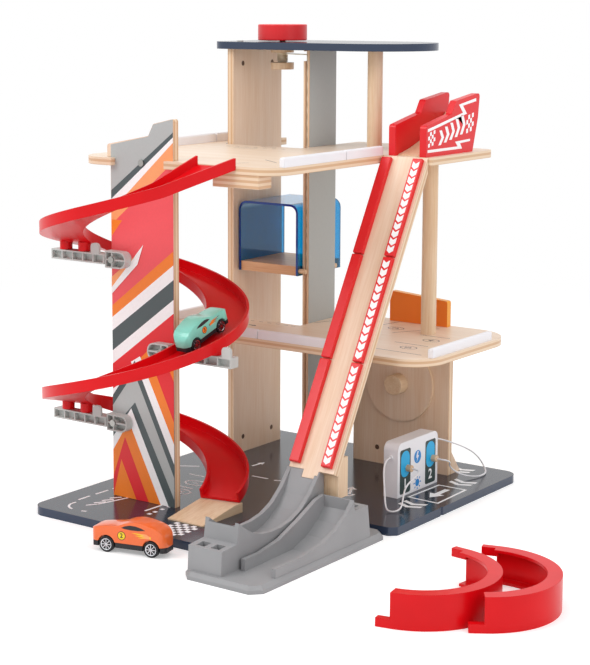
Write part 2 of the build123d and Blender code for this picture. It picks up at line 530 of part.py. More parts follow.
# ---- garage wall and what is on it ---------------------------------------------------------------
def make_garage():
    wall = block(WALL_X0, WALL_X1, WALL_Y, WALL_Y + PLY, BOARD_TOP, MID_Z)
    wall -= rod_y(DISC_X, WALL_Y, WALL_Y + PLY, DISC_Z, AXLE_R + RUN)
    x, y = barrel_feet()[2]
    wall -= rod(x, y, BOARD_TOP, BOARD_TOP + NUT_IN + NUT_R, BOLT_R + RUN)
    wall -= rod_y(x, WALL_Y, WALL_Y + PLY, BOARD_TOP + NUT_IN, NUT_R + RUN)
    put("garage_wall", wall)
    front = WALL_Y - SEAT - DISC_T
    put("turn_disc", rod_y(DISC_X, front, WALL_Y - SEAT, DISC_Z, DISC_R)
        - rod_y(DISC_X, front, WALL_Y - SEAT, DISC_Z, AXLE_R))
    knob = rod_y(DISC_X, front - KNOB_L, front, DISC_Z, KNOB_R)
    rim = knob.edges().filter_by(lambda e: abs(e.center().Y - front + KNOB_L) < 1e-3)
    put("disc_knob", fillet(rim, 1.2))
    back = WALL_Y + PLY + SEAT
    put("disc_axle", rod_y(DISC_X, front, back, DISC_Z, AXLE_R)
        + rod_y(DISC_X, back, back + AXLE_HEAD_T, DISC_Z, AXLE_HEAD_R))
    y1 = MID_Y1 - FENCE_BACK
    put("orange_fence", profile_xz([(FENCE_X0, MID_TOP), (FENCE_X0, MID_TOP + FENCE_H0, SMALL_R),
                                    (FENCE_X1, MID_TOP + FENCE_H1, SMALL_R), (FENCE_X1, MID_TOP)],
                                   y1 - PLY, y1))
    yb = WALL_Y + PLY
    put("wall_brace", profile_yz([(yb, BOARD_TOP), (yb, BOARD_TOP + BRACE_H),
                                  (yb + BRACE_L, BOARD_TOP)], WALL_X1 - PLY, WALL_X1))


# ---- lift ----------------------------------------------------------------------------------------
def cab_x():
    return COL_L_X + PLY + CAB_GAP, COL_R_X - CAB_GAP


def pin_rows():
    return (COL_R_Y0 - PIN_R - PIN_GAP, COL_R_Y0 + COL_R_W + PIN_R + PIN_GAP)


def make_cabin():
    x0, x1 = cab_x()
    y1 = CAB_Y0 + CAB_D
    ztop = CAB_Z + CAB_H
    outer = profile_xz([(x0, CAB_Z), (x0, ztop, CAB_R), (x1, ztop, CAB_R), (x1, CAB_Z)], CAB_Y0, y1)
    inner = profile_xz([(x0 + CAB_T, CAB_Z), (x0 + CAB_T, ztop - CAB_T, CAB_R - CAB_T),
                        (x1 - CAB_T, ztop - CAB_T, CAB_R - CAB_T), (x1 - CAB_T, CAB_Z)], CAB_Y0, y1)
    shell = outer - inner
    zp = CAB_Z + FLOOR_T / 2
    floor = block(x0 + CAB_T, x1 - CAB_T, CAB_Y0 + 1.0, y1 - 1.0, CAB_Z, CAB_Z + FLOOR_T)
    pins = []
    for y in pin_rows():
        shell -= rod_x(x0, x1, y, zp, PIN_R)
        floor -= rod_x(x0, x1, y, zp, PIN_R)
        pins.append(rod_x(x0, COL_R_X + PLY - 1.0, y, zp, PIN_R))
    put("cabin_shell", shell)
    put("cabin_floor", floor)
    put("cabin_pins", Compound(children=pins))


def make_crank():
    z = TOP_Z + PLY + CRANK_LIFT
    knob = rod(CRANK_X, CRANK_Y, z, z + CRANK_H, CRANK_R)
    knob = fillet(knob.edges(), CRANK_EDGE)
    put("lift_knob", knob)
    top = TOP_Z - SEAT
    low = top - FLANGE_T - SPOOL_H
    put("lift_spindle", rod(CRANK_X, CRANK_Y, top - FLANGE_T, z, SPINDLE_R))
    put("lift_spool", rod(CRANK_X, CRANK_Y, top - FLANGE_T, top, FLANGE_R)
        - rod(CRANK_X, CRANK_Y, top - FLANGE_T, top, SPINDLE_R)
        + rod(CRANK_X, CRANK_Y, low, top - FLANGE_T, CORE_R)
        + rod(CRANK_X, CRANK_Y, low - FLANGE_LOW_T, low, FLANGE_R))
    make_string(low)


def string_level(low):
    return low + STRING_D / 2 + 0.4


def winding_radius():
    return CORE_R + STRING_D / 2 + STRING_LIFT


def string_exit():
    """Groove centre, and the angle at which the string leaves the winding for it."""
    gx, gy = COL_R_X + PLY / 2, COL_R_Y0 + GROOVE_D / 2
    dx, dy = gx - CRANK_X, gy - CRANK_Y
    leave = math.degrees(math.atan2(dy, dx)) - math.degrees(math.acos(winding_radius() / math.hypot(dx, dy)))
    return gx, gy, leave


def biarc(p0, t0, p1, t1):
    """Two arcs, tangent to each other and to the given directions at both ends."""
    v, t = p1 - p0, t0 + t1
    k = 2 * (1 - t0.dot(t1))
    d = (-v.dot(t) + math.sqrt(v.dot(t) ** 2 + k * v.dot(v))) / k
    join = (p0 + t0 * d + p1 - t1 * d) * 0.5
    mid_dir = (p1 - t1 * d - p0 - t0 * d).normalized()
    return [Edge.make_tangent_arc(p0, t0, join), Edge.make_tangent_arc(join, mid_dir, p1)]


def make_string(low):
    """One tube: loops round the spool, the run to the lift board, the drop in its groove."""
    r, z0 = winding_radius(), string_level(low)
    gx, gy, leave = string_exit()
    quarters = 4 * STRING_LOOPS

    def at(i):
        a = math.radians(leave + 90.0 * i)
        return Vector(CRANK_X + r * math.cos(a), CRANK_Y + r * math.sin(a), z0 + STRING_PITCH * i / 4)

    def heading(i):
        a = math.radians(leave + 90.0 * i)
        rise = STRING_PITCH / (2 * math.pi * r) if 0 < i < quarters else 0.0
        return Vector(-math.sin(a), math.cos(a), rise).normalized()

    edges = [Edge.make_line(at(0) - heading(0) * STRING_D, at(0))]
    for i in range(quarters):
        edges += biarc(at(i), heading(i), at(i + 1), heading(i + 1))
    last = at(quarters)
    corner = Vector(gx, gy, last.Z)
    aim = (corner - last).normalized()
    down = Vector(0, 0, -1)
    bend0, bend1 = corner - aim * STRING_TURN, corner + down * STRING_TURN
    edges += [Edge.make_line(last, bend0), Edge.make_tangent_arc(bend0, aim, bend1),
              Edge.make_line(bend1, Vector(gx, gy, CAB_Z + FLOOR_T / 2))]
    path = Wire(edges)
    start = Plane(origin=path.position_at(0), z_dir=heading(0))
    tube = sweep(start * Circle(STRING_D / 2).face(), path=path)
    fine = [at(i / 9) for i in range(9 * quarters + 1)]
    gap = min((p - q).length for i, p in enumerate(fine) for j, q in enumerate(fine) if j - i > 18) - STRING_D
    print("lift_string loops", STRING_LOOPS, "length", round(path.length, 1), "least gap to itself",
          round(gap, 2), "volume/section*length",
          round(tube.volume / (math.pi * STRING_D ** 2 / 4 * path.length), 4))
    put("lift_string", tube)


# ---- ramp ----------------------------------------------------------------------------------------
def ramp_frame():
    """Foot of the ramp's top face, unit vector up the slope, unit normal of the face."""
    foot = Vector(0, RAMP_FOOT_Y, RAMP_FOOT_Z)
    top = Vector(0, LOBE_Y0 - FIT, UP_TOP)
    run = top - foot
    along = run.normalized()
    normal = Vector(0, -along.Z, along.Y)
    return foot, along, normal, run.length


def yz(v):
    return (v.Y, v.Z)


def make_ramp():
    foot, along, normal, length = ramp_frame()
    x0, x1 = RAMP_X0, RAMP_X0 + RAMP_W
    wall_y = LOBE_Y0 - FIT
    under = foot - normal * PLY
    rise = (wall_y - under.Y) / along.Y
    plank = profile_yz([yz(foot), yz(foot + along * length), yz(under + along * rise), yz(under)], x0, x1)
    mid = (x0 + x1) / 2
    tongue = profile_yz([yz(foot), yz(under), yz(under - along * TONGUE_L), yz(foot - along * TONGUE_L)],
                        mid - TONGUE_W / 2, mid + TONGUE_W / 2)
    put("ramp_plank", plank + tongue)
    sides = (("ramp_rails_left", x0 + RAMP_RAIL_IN_L),
             ("ramp_rails_right", x1 - RAMP_RAIL_IN_R - RAMP_RAIL_W))
    marks = [0.012, *RAMP_RAIL_CUTS, 0.992]
    for name, xr in sides:
        pieces = []
        for s0, s1 in zip(marks, marks[1:]):
            a = foot + along * (length * s0 + RAIL_GAP / 2)
            b = foot + along * (length * s1 - RAIL_GAP / 2)
            h = normal * RAMP_RAIL_H
            pieces.append(profile_yz([yz(a), yz(b), (*yz(b + h), SMALL_R / 2), (*yz(a + h), SMALL_R / 2)],
                                     xr, xr + RAMP_RAIL_W))
        put(name, Compound(children=pieces))
    slope = along.Z / along.Y
    y_top = under.Y + (PROP_Z1 - under.Z) / slope
    put("ramp_prop", profile_yz([(PROP_Y0, PROP_Z0), (PROP_Y0, under.Z + (PROP_Y0 - under.Y) * slope),
                                 (y_top, PROP_Z1), (PROP_Y1, PROP_Z1), (PROP_Y1, PROP_Z0)],
                                x0 + PROP_IN, x1))


def make_gate():
    for name, x in (("start_board_left", GATE_X_L), ("start_board_right", GATE_X_R)):
        pts = []
        for i, (y, z) in enumerate(GATE_PROFILE):
            r = 4.0 if i in (1, 3, 4) else (2.0 if i == 2 else 0.0)
            pts.append((LOBE_Y0 + GATE_SET + y, UP_TOP + z, r))
        put(name, profile_yz(pts, x, x + PLY))
    y0 = LOBE_Y0 + GATE_SET + 6.0
    y1 = y0 + CHUTE_L
    z0, z1 = UP_TOP, UP_TOP + CHUTE_H
    p0, p1 = Vector(y0, z0 + 1.5), Vector(y1, z1)
    mid = (p0 + p1) * 0.5 + Vector(0.35, -0.94) * CHUTE_SAG
    arc = Edge.make_three_point_arc(p0, mid, p1)
    wire = Wire([arc, Edge.make_line(p1, Vector(y1, z0)), Edge.make_line(Vector(y1, z0), Vector(y0, z0)),
                 Edge.make_line(Vector(y0, z0), p0)])
    pl = Plane(origin=(GATE_X_L + PLY + CHUTE_GAP, 0, 0), x_dir=(0, 1, 0), z_dir=(1, 0, 0))
    put("start_chute", extrude(pl * Face(wire), GATE_X_R - GATE_X_L - PLY - 2 * CHUTE_GAP, dir=(1, 0, 0)))


# ---- jump base -----------------------------------------------------------------------------------
def make_jump():
    x0, x1, y0, y1, c = JUMP_X0, JUMP_X1, JUMP_Y0, JUMP_Y1, JUMP_CHAMFER
    plate = slab([(x0 + c, y0, 0), (x1 - c, y0, 0), (x1, y0 + c, 0), (x1, y1 - c, 0), (x1 - c, y1, 0),
                  (x0 + c, y1, 0), (x0, y1 - c, 0), (x0, y0 + c, 0)], 0, JUMP_T)
    rim = plate.edges().filter_by(lambda e: abs(e.center().Z - JUMP_T) < 1e-3)
    plate = chamfer(rim, JUMP_BEVEL)
    # lane with the kicker, for the way into the loop; its back end fits the ramp's foot
    ax0, ax1 = LANE_A_X, LANE_A_X + LANE_W
    foot, along, normal, _ = ramp_frame()
    under = foot - normal * PLY
    tail = [(TAIL_A_Y, JUMP_T / 2), (TAIL_A_Y, PROP_Z0), (under.Y - SEAT, PROP_Z0),
            (under.Y - SEAT, under.Z), yz(foot - along * SEAT)]
    lip_y = LANE_A[-1][0]
    nose = [(lip_y - 3.0, NOSE_Z), (NOSE_Y0 + 2.0, NOSE_Z - 2.0), (NOSE_Y0, JUMP_T / 2)]
    body_a = profile_yz(tail + list(LANE_A[1:]) + nose, ax0, ax1)
    sky = LANE_A[0][1] + 5.0
    first, final = LANE_A_FLOOR[0], LANE_A_FLOOR[-1]
    end = foot + normal * PLY
    cut_a = [yz(end), yz(foot)] + list(LANE_A_FLOOR) + [(lip_y - 0.5, final[1]), (lip_y - 0.5, sky + PLY)]
    body_a -= profile_yz(cut_a, ax0 + LANE_WALL, ax1 - LANE_WALL)
    t0, t1 = foot + along * SEAT, foot - along * (TONGUE_L + SEAT)
    drop = normal * (PLY + SEAT)
    seat_x = RAMP_X0 + RAMP_W / 2
    body_a -= profile_yz([yz(t0 + normal), yz(t1 + normal), yz(t1 - drop), yz(t0 - drop)],
                         seat_x - TONGUE_W / 2 - SEAT, seat_x + TONGUE_W / 2 + SEAT)
    # lane that the loop comes down into, open in front
    bx0, bx1 = LANE_B_X, LANE_B_X + LANE_W
    rear = [(TAIL_B_Y, JUMP_T / 2), (TAIL_B_Y - 6.0, TAIL_B_Z), (LANE_B[0][0] + 2.0, TAIL_B_Z)]
    body_b = profile_yz(rear + list(LANE_B) + [(LANE_B[-1][0], JUMP_T / 2)], bx0, bx1)
    body_b += profile_yz(rear + list(LANE_B_LEFT) + [(LANE_B[-1][0], JUMP_T / 2)], bx0, bx0 + LANE_WALL)
    floor_b = [(y, max(z - LANE_EDGE, JUMP_T)) for y, z in LANE_B]
    floor_b = floor_b[:4] + [(LANE_B[-1][0] - 1.0, JUMP_T)]
    cut_b = [(LANE_B[0][0] - 0.5, sky), (LANE_B[0][0] - 0.5, floor_b[0][1])] + floor_b[1:] \
        + [(LANE_B[-1][0] - 1.0, sky)]
    body_b -= profile_yz(cut_b, bx0 + LANE_WALL, bx1 - LANE_WALL)
    # sockets for the loop halves' tips
    for x in (ax0 + LANE_WALL + 2.0, ax1 - LANE_WALL - 2.0 - SOCKET_W):
        body_a -= block(x, x + SOCKET_W, NOSE_Y0 + 6.0, NOSE_Y0 + 6.0 + SOCKET_L,
                        NOSE_Z - SOCKET_DEEP, NOSE_Z + 5.0)
    for x in (bx0 + LANE_WALL + 2.0, bx1 - LANE_WALL - 2.0 - SOCKET_W):
        ys = LANE_B[0][0] + 9.0
        body_b -= block(x, x + SOCKET_W, ys, ys + SOCKET_L, TAIL_B_Z - SOCKET_DEEP, TAIL_B_Z + 5.0)
    jump = plate + body_a + body_b
    # hollow underside of the moulding
    inner = [(y, z - LANE_SKIN) for y, z in LANE_A_FLOOR[2:-1]]
    jump -= profile_yz([(inner[0][0], -1.0)] + inner + [(inner[-1][0], -1.0)],
                       ax0 + LANE_WALL, ax1 - LANE_WALL)
    put("jump_base", jump)


# ---- loop halves ---------------------------------------------------------------------------------
def make_loop(cx, cy, near):
    """Half a loop: a channel round an arc, lying on one of its side walls."""
    r0, r1, h = LOOP_R - LOOP_H, LOOP_R, LOOP_W / 2
    pts = [(r0, -h), (r1, -h), (r1, h), (r0, h), (r0, h - LOOP_WALL), (r1 - LOOP_WALL, h - LOOP_WALL),
           (r1 - LOOP_WALL, -h + LOOP_WALL), (r0, -h + LOOP_WALL)]
    section = Face(Wire.make_polygon([Vector(x, 0, z) for x, z in pts], close=True))
    piece = revolve(section, axis=Axis.Z, revolution_arc=LOOP_ARC)
    tip = Box(LOOP_TIP_T, LOOP_TIP_L + LOOP_WALL, LOOP_TIP_W)
    mid, out = r1 - LOOP_TIP_T / 2, (LOOP_TIP_L - LOOP_WALL) / 2
    piece += Pos(mid, -out, -h + LOOP_TIP_W / 2) * tip
    piece += Rot(0, 0, LOOP_ARC) * Pos(mid, out, h - LOOP_TIP_W / 2) * tip
    return Pos(cx, cy, h) * Rot(0, 0, near) * piece


# ---- charging station ----------------------------------------------------------------------------
def make_charger():
    x0, x1 = CH_X - CH_T, CH_X
    y0, y1 = CH_Y0, CH_Y0 + CH_W
    zt = BOARD_TOP + CH_H
    body = profile_yz([(y0, BOARD_TOP), (y0, zt, CH_R), (y1, zt, CH_R), (y1, BOARD_TOP)], x0, x1)
    glands = []
    for i, py in enumerate(PLUG_Y):
        y, z = y0 + py, BOARD_TOP + PLUG_Z
        body -= rod_x(x1 - PLUG_IN, x1, y, z, PLUG_R + RUN)
        plug = rod_x(x1 - PLUG_IN + RUN, x1 - PLUG_IN + PLUG_L, y, z, PLUG_R)
        edge = plug.edges().filter_by(lambda e: e.center().X > x1)
        put("plug_%d" % (i + 1), fillet(edge, 1.0))
    xm = (x0 + x1) / 2
    g1 = rod_y(xm, y0 - GLAND_T, y0, BOARD_TOP + GLAND_Z[0], GLAND_R)
    g2 = rod_y(xm, y1, y1 + GLAND_T, BOARD_TOP + GLAND_Z[1], GLAND_R)
    put("charger_body", body + g1 + g2)
    make_cords(xm, y0, y1)


def cord_tube(name, pts, dia):
    """Tube along straight runs joined by arcs as large as the runs allow."""
    v = [Vector(*p) for p in pts]
    runs = [(b - a).length for a, b in zip(v, v[1:])]
    radii = []
    for i in range(1, len(v) - 1):
        turn = math.radians(180.0 - (v[i - 1] - v[i]).get_angle(v[i + 1] - v[i]))
        radii.append(0.45 * min(runs[i - 1], runs[i]) / math.tan(turn / 2))
    line = FilletPolyline(*v, radius=radii)
    path = Wire(line.edges())
    start = Plane(origin=v[0], z_dir=v[1] - v[0])
    tube = sweep(start * Circle(dia / 2).face(), path=path)
    want = math.pi * dia * dia / 4 * path.length
    print(name, "length", round(path.length, 1), "least radius", round(min(radii), 1),
          "radii", [round(r) for r in radii], "longest run", round(max(runs), 1),
          "volume/section*length", round(tube.volume / want, 4))
    put(name, tube)


def make_cords(xm, y0, y1):
    """Both cords, from the glands on the ends round to the plugs' front faces."""
    px, z = CH_X - PLUG_IN + PLUG_L, BOARD_TOP + PLUG_Z
    ya, yb = y0 + PLUG_Y[0], y0 + PLUG_Y[1]
    low = BOARD_TOP + CORD_D / 2 + 0.4
    g, h = y0 - GLAND_T, BOARD_TOP + GLAND_Z[0]
    cord_tube("cord_1", [(xm, g, h), (xm, g - 8.5, h), (xm + 3, g - 19, h - 8.5), (xm + 10, g - 29, h - 20),
                         (xm + 18, g - 40, h - 32), (xm + 24.5, g - 48.5, low + 4.6),
                         (xm + 30.5, g - 53.5, low + 0.6), (xm + 38, g - 51.5, low), (xm + 41, g - 43, low + 1.6),
                         (xm + 38, g - 33.5, low + 5), (xm + 32, g - 21.5, low + 10.6), (xm + 27, g - 9, low + 17.4),
                         (xm + 27, g + 2.5, low + 22.6), (px + 12.5, ya - 10, z - 4.5),
                         (px + 11.5, ya - 3.7, z - 1), (px + 6.5, ya, z), (px, ya, z)], CORD_D)
    g, h = y1 + GLAND_T, BOARD_TOP + GLAND_Z[1]
    cord_tube("cord_2", [(xm, g, h), (xm, g + 8.5, h), (xm + 5, g + 19, h - 3.5), (xm + 14, g + 30, h - 8.5),
                         (xm + 20.5, g + 43.5, h - 15), (xm + 25, g + 57.5, h - 23),
                         (xm + 28, g + 69.5, h - 33), (xm + 31.5, g + 76, low + 6.8), (xm + 37, g + 72, low + 0.5),
                         (xm + 41.5, g + 60.5, low), (xm + 41, g + 47, low + 0.2), (xm + 34, g + 35.5, low + 1.4),
                         (xm + 24.5, g + 27.5, low + 5), (xm + 20, g + 18, low + 12),
                         (xm + 21, g + 7.5, low + 20), (px + 12.5, yb + 10, z - 4.5),
                         (px + 11.5, yb + 3.7, z - 1), (px + 6.5, yb, z), (px, yb, z)], CORD_D)


# ---- cars ----------------------------------------------------------------------------------------
def make_car(prefix, place, size=1.0):
    """A toy car, nose along +X, its wheels on z = 0 before it is placed."""
    w = CAR_W / 2
    rear, front = -CAR_BASE / 2, CAR_BASE / 2
    side = [(rear + s, z, r) for s, z, r in CAR_SIDE]
    tail, nose = min(p[0] for p in side), max(p[0] for p in side)
    zf = CAR_FLOOR_Z + CAR_FLOOR_T
    plan = slab([(tail, -w, CAR_TAIL_R), (nose, -w, CAR_NOSE_R), (nose, w, CAR_NOSE_R),
                 (tail, w, CAR_TAIL_R)], 0, 2 * CAR_W)
    pl = Plane(origin=(0, w, 0), x_dir=(1, 0, 0), z_dir=(0, -1, 0))
    body = extrude(pl * outline(side), CAR_W, dir=(0, -1, 0)) & plan
    arch = WHEEL_R + 1.5
    under = block(tail + 2, nose - 1, -w + 1, w - 1, CAR_FLOOR_Z, zf) & plan
    inner = w - WHEEL_W - 1.0
    for x in (rear, front):
        for s in (-1, 1):
            lo, hi = sorted((s * inner, s * (w + 1)))
            body -= rod_y(x, lo, hi, WHEEL_R, arch)
            under -= rod_y(x, lo, hi, WHEEL_R, arch)
        body -= rod_y(x, -w, w, WHEEL_R, CAR_AXLE + RUN)
        under -= rod_y(x, -w, w, WHEEL_R, CAR_AXLE + RUN)
        tag = "rear" if x < 0 else "front"
        wheels = rod_y(x, -w, w, WHEEL_R, CAR_AXLE)
        for s in (-1, 1):
            lo, hi = sorted((s * (w - WHEEL_W - 0.5), s * (w - 0.5 + 0.5)))
            tyre = rod_y(x, lo, hi, WHEEL_R, WHEEL_R)
            wheels += chamfer(tyre.edges().filter_by(GeomType.CIRCLE), 0.6)
        put("%s_wheels_%s" % (prefix, tag), place * scale(wheels, by=size))
    put(prefix + "_body", place * scale(body, by=size))
    put(prefix + "_chassis", place * scale(under, by=size))


def make_cars():
    x, y, a = CAR_A
    make_car("orange_car", Pos(x, y, 0) * Rot(0, 0, a))
    pitch = math.degrees(math.atan(PITCH / (2 * math.pi * CAR_B_R)))
    o = polar(CAR_B_R, CAR_B_ANGLE, track_z(CAR_B_ANGLE) + TRACK_FLOOR / math.cos(math.radians(pitch)))
    make_car("mint_car", Pos(o.X, o.Y, o.Z + CAR_B_RAISE) * Rot(0, 0, CAR_B_ANGLE - 90.0) * Rot(0, pitch, 0),
             CAR_B_SIZE)


make_base()
make_decks()
make_rails()
make_columns()
make_pad()
make_fasteners()
make_panel()
make_brackets()
make_track()
make_garage()
make_cabin()
make_crank()
make_ramp()
make_gate()
make_jump()
put("loop_half_a", make_loop(*LOOP_A))
put("loop_half_b", make_loop(*LOOP_B))
make_charger()
make_cars()

os.makedirs("parts", exist_ok=True)
for node, shape in NODES.items():
    export_step(Pos(-BASE_W / 2, -BASE_D / 2, 0) * shape, "parts/%s.step" % node)
print(len(NODES), "nodes")
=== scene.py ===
# %% [markdown]
# A toy parking garage with a lift: plywood decks and boards, a red spiral track, a
# launch ramp into a grey jump base, a charging station and two cars. The measured
# parts come from the CAD frame, so this script only gives them their finishes, adds
# the printed road markings, the cords, the string and the cars' paintwork, and sets
# the floor, the lamps and the camera. Every length is in metres in the CAD's frame.

# %% The frame
import json
import math

import bpy
from mathutils import Matrix, Vector

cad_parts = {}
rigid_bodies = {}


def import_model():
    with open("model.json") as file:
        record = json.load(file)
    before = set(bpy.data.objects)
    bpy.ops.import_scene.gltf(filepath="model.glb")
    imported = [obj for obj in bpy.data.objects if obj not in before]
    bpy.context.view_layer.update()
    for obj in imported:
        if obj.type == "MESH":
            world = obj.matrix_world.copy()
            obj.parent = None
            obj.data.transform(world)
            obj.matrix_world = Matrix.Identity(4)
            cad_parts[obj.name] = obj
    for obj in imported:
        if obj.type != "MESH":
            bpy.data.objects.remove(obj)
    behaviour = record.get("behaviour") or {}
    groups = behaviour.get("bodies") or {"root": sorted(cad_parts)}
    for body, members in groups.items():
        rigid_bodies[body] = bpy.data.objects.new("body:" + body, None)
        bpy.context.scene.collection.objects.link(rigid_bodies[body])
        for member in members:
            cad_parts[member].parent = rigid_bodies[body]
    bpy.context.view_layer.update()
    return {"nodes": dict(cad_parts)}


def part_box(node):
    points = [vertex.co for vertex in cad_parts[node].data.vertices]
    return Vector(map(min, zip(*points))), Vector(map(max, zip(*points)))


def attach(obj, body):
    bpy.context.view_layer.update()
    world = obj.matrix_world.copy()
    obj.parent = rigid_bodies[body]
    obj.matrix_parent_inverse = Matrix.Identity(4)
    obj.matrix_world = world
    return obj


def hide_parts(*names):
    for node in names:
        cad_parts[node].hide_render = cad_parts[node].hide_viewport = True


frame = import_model()
bpy.ops.object.select_all(action="DESELECT")

# %% [markdown]
# The pieces were laid out in millimetres from the front left corner of the base
# board. Keeping that habit makes a print's place easy to compare with the CAD, so
# one helper turns such a place into a point of the frame.

# %% Places
MM = 0.001
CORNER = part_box("base_board")[0]


def at(x, y, z):
    """A point given in millimetres from the base board's front left corner."""
    return Vector((CORNER.x + x * MM, CORNER.y + y * MM, z * MM))


print("corner of the board:", [round(c, 4) for c in CORNER])

# %% [markdown]
# Most of Blender's operators act on whatever is selected, so every step below
# first selects just the pieces that it means.

# %% Selecting
def select_only(*pieces):
    """Selects these pieces alone; the first becomes the active one."""
    bpy.ops.object.select_all(action="DESELECT")
    for piece in pieces:
        piece.select_set(True)
    bpy.context.view_layer.objects.active = pieces[0]



# %% [markdown]
# The camera stands in front and to the right, a little above the top plate, with a
# long lens. A long lens keeps upright boards upright, which is why product shots
# use one. Its turn is built from two angles, so that both can be read.

# %% Camera
CAMERA_AT = Vector((1.1939, -1.6738, 0.5935))
CAMERA_AZIMUTH = math.radians(36.89)
CAMERA_DOWN = math.radians(8.41)
LENS_MM = 106.64
LENS_SHIFT = (0.0900, -0.1225)

ahead = Vector((-math.sin(CAMERA_AZIMUTH) * math.cos(CAMERA_DOWN),
                math.cos(CAMERA_AZIMUTH) * math.cos(CAMERA_DOWN),
                -math.sin(CAMERA_DOWN)))
aside = Vector((math.cos(CAMERA_AZIMUTH), math.sin(CAMERA_AZIMUTH), 0.0))
above = aside.cross(ahead)
turn = Matrix((aside, above, -ahead)).transposed()

bpy.ops.object.camera_add(location=CAMERA_AT)
camera = bpy.context.object
camera.rotation_euler = turn.to_euler()
camera.data.lens = LENS_MM
camera.data.sensor_fit = "HORIZONTAL"
camera.data.shift_x, camera.data.shift_y = LENS_SHIFT
bpy.context.scene.camera = camera
print("camera looks along", [round(c, 3) for c in ahead])

# %% [markdown]
# Every material below is a small tree of nodes. One helper adds a node with its
# settings and wires its inputs, and another opens a material with a Principled
# shader. Colours are read off paint charts as sRGB codes, while the shader works
# in linear light, so one function turns the one into the other.

# %% Helpers for materials
A_COLOUR, B_COLOUR, MIXED = 6, 7, 2      # sockets of a Mix node that mixes colours


def srgb(code):
    """Linear colour with alpha from a six-digit sRGB code."""
    parts = [int(code[i:i + 2], 16) / 255 for i in (0, 2, 4)]
    linear = [c / 12.92 if c <= 0.04045 else ((c + 0.055) / 1.055) ** 2.4 for c in parts]
    return (*linear, 1.0)


def add(tree, kind, inputs=None, **settings):
    """One node with its settings; an input is a plain value or another node's socket."""
    node = tree.nodes.new(kind)
    for key, value in settings.items():
        setattr(node, key, value)
    for socket, value in (inputs or {}).items():
        if isinstance(value, bpy.types.NodeSocket):
            tree.links.new(value, node.inputs[socket])
        else:
            node.inputs[socket].default_value = value
    return node


def finish_start(name, **constants):
    """A new material, its node tree and its Principled shader with plain values set."""
    material = bpy.data.materials.new(name)
    material.use_nodes = True
    shader = material.node_tree.nodes["Principled BSDF"]
    for socket, value in constants.items():
        shader.inputs[socket.replace("_", " ")].default_value = value
    return material, material.node_tree, shader


# %% [markdown]
# No real surface has quite the same tone and gloss all over. One helper lets the
# brightness of a colour and the roughness drift, each with a pattern of its own.

# %% Drift of tone and gloss
def drift(tree, shader, colour, tone_by, tones, rough_by=None, roughs=None, spread=(0.0, 1.0)):
    """Colour and roughness that follow patterns; spread is the part of the tone pattern used."""
    tone = add(tree, "ShaderNodeMapRange", {"Value": tone_by, "From Min": spread[0], "From Max": spread[1],
                                            "To Min": tones[0], "To Max": tones[1]})
    base = add(tree, "ShaderNodeHueSaturation", {"Value": tone.outputs[0], "Color": colour})
    tree.links.new(base.outputs[0], shader.inputs["Base Color"])
    if roughs:
        rough = add(tree, "ShaderNodeMapRange", {"Value": rough_by, "To Min": roughs[0], "To Max": roughs[1]})
        tree.links.new(rough.outputs[0], shader.inputs["Roughness"])


# %% [markdown]
# Soft edges catch light on every real toy, because sanding and moulding round
# them. The CAD keeps its edges sharp, so the shader rounds them over a given
# radius and adds the surface's own fine unevenness as bump on top.

# %% Rounded edges and fine relief
def relief(tree, shader, height, depth_mm, edge_mm=0.6):
    """Bump of a real depth, on edges rounded by a real radius."""
    soft = add(tree, "ShaderNodeBevel", {"Radius": edge_mm * MM}, samples=4)
    bump = add(tree, "ShaderNodeBump", {"Height": height, "Distance": depth_mm * MM,
                                        "Strength": 1.0, "Normal": soft.outputs[0]})
    tree.links.new(bump.outputs[0], shader.inputs["Normal"])


# %% [markdown]
# The boards are lacquered birch plywood. Birch is pale, with soft streaks a
# millimetre or two across and several centimetres long, and a satin lacquer lies
# over it. A saw cut shows the thin layers, turn about lighter and browner. The
# pattern is made from noise that is stretched along the grain, and the layers
# from the place along the board's thickness, where the face turns away from it.

# %% Birch plywood and solid birch
GRAIN_FINE_MM = (1.6, 45.0)     # width and length of a fine streak
GRAIN_BROAD_MM = (14.0, 260.0)  # width and length of a broad figure
LAYER_MM = 1.5                  # one veneer of the plywood
SAW_CUT = 0.6                   # a face that turns further than this from an axis is an edge
AXES = {"X": 0, "Y": 1, "Z": 2}


def edge_mask(tree, normal, axis):
    """1 on faces that turn away from an axis, as a board's edges do, and 0 elsewhere."""
    parts = add(tree, "ShaderNodeSeparateXYZ", {0: normal})
    facing = add(tree, "ShaderNodeMath", {0: parts.outputs[AXES[axis]]}, operation="ABSOLUTE")
    return add(tree, "ShaderNodeMath", {0: facing.outputs[0], 1: SAW_CUT}, operation="LESS_THAN").outputs[0]


def grain_noise(tree, where, along, size_mm, detail):
    """Noise stretched along one axis, with its feature size in millimetres."""
    scale = [1.0 / (size_mm[0] * MM)] * 3
    scale[AXES[along]] = 1.0 / (size_mm[1] * MM)
    placed = add(tree, "ShaderNodeMapping", {"Vector": where, "Scale": scale})
    return add(tree, "ShaderNodeTexNoise", {"Vector": placed.outputs[0], "Scale": 1.0, "Detail": detail,
                                            "Roughness": 0.55}).outputs["Fac"]


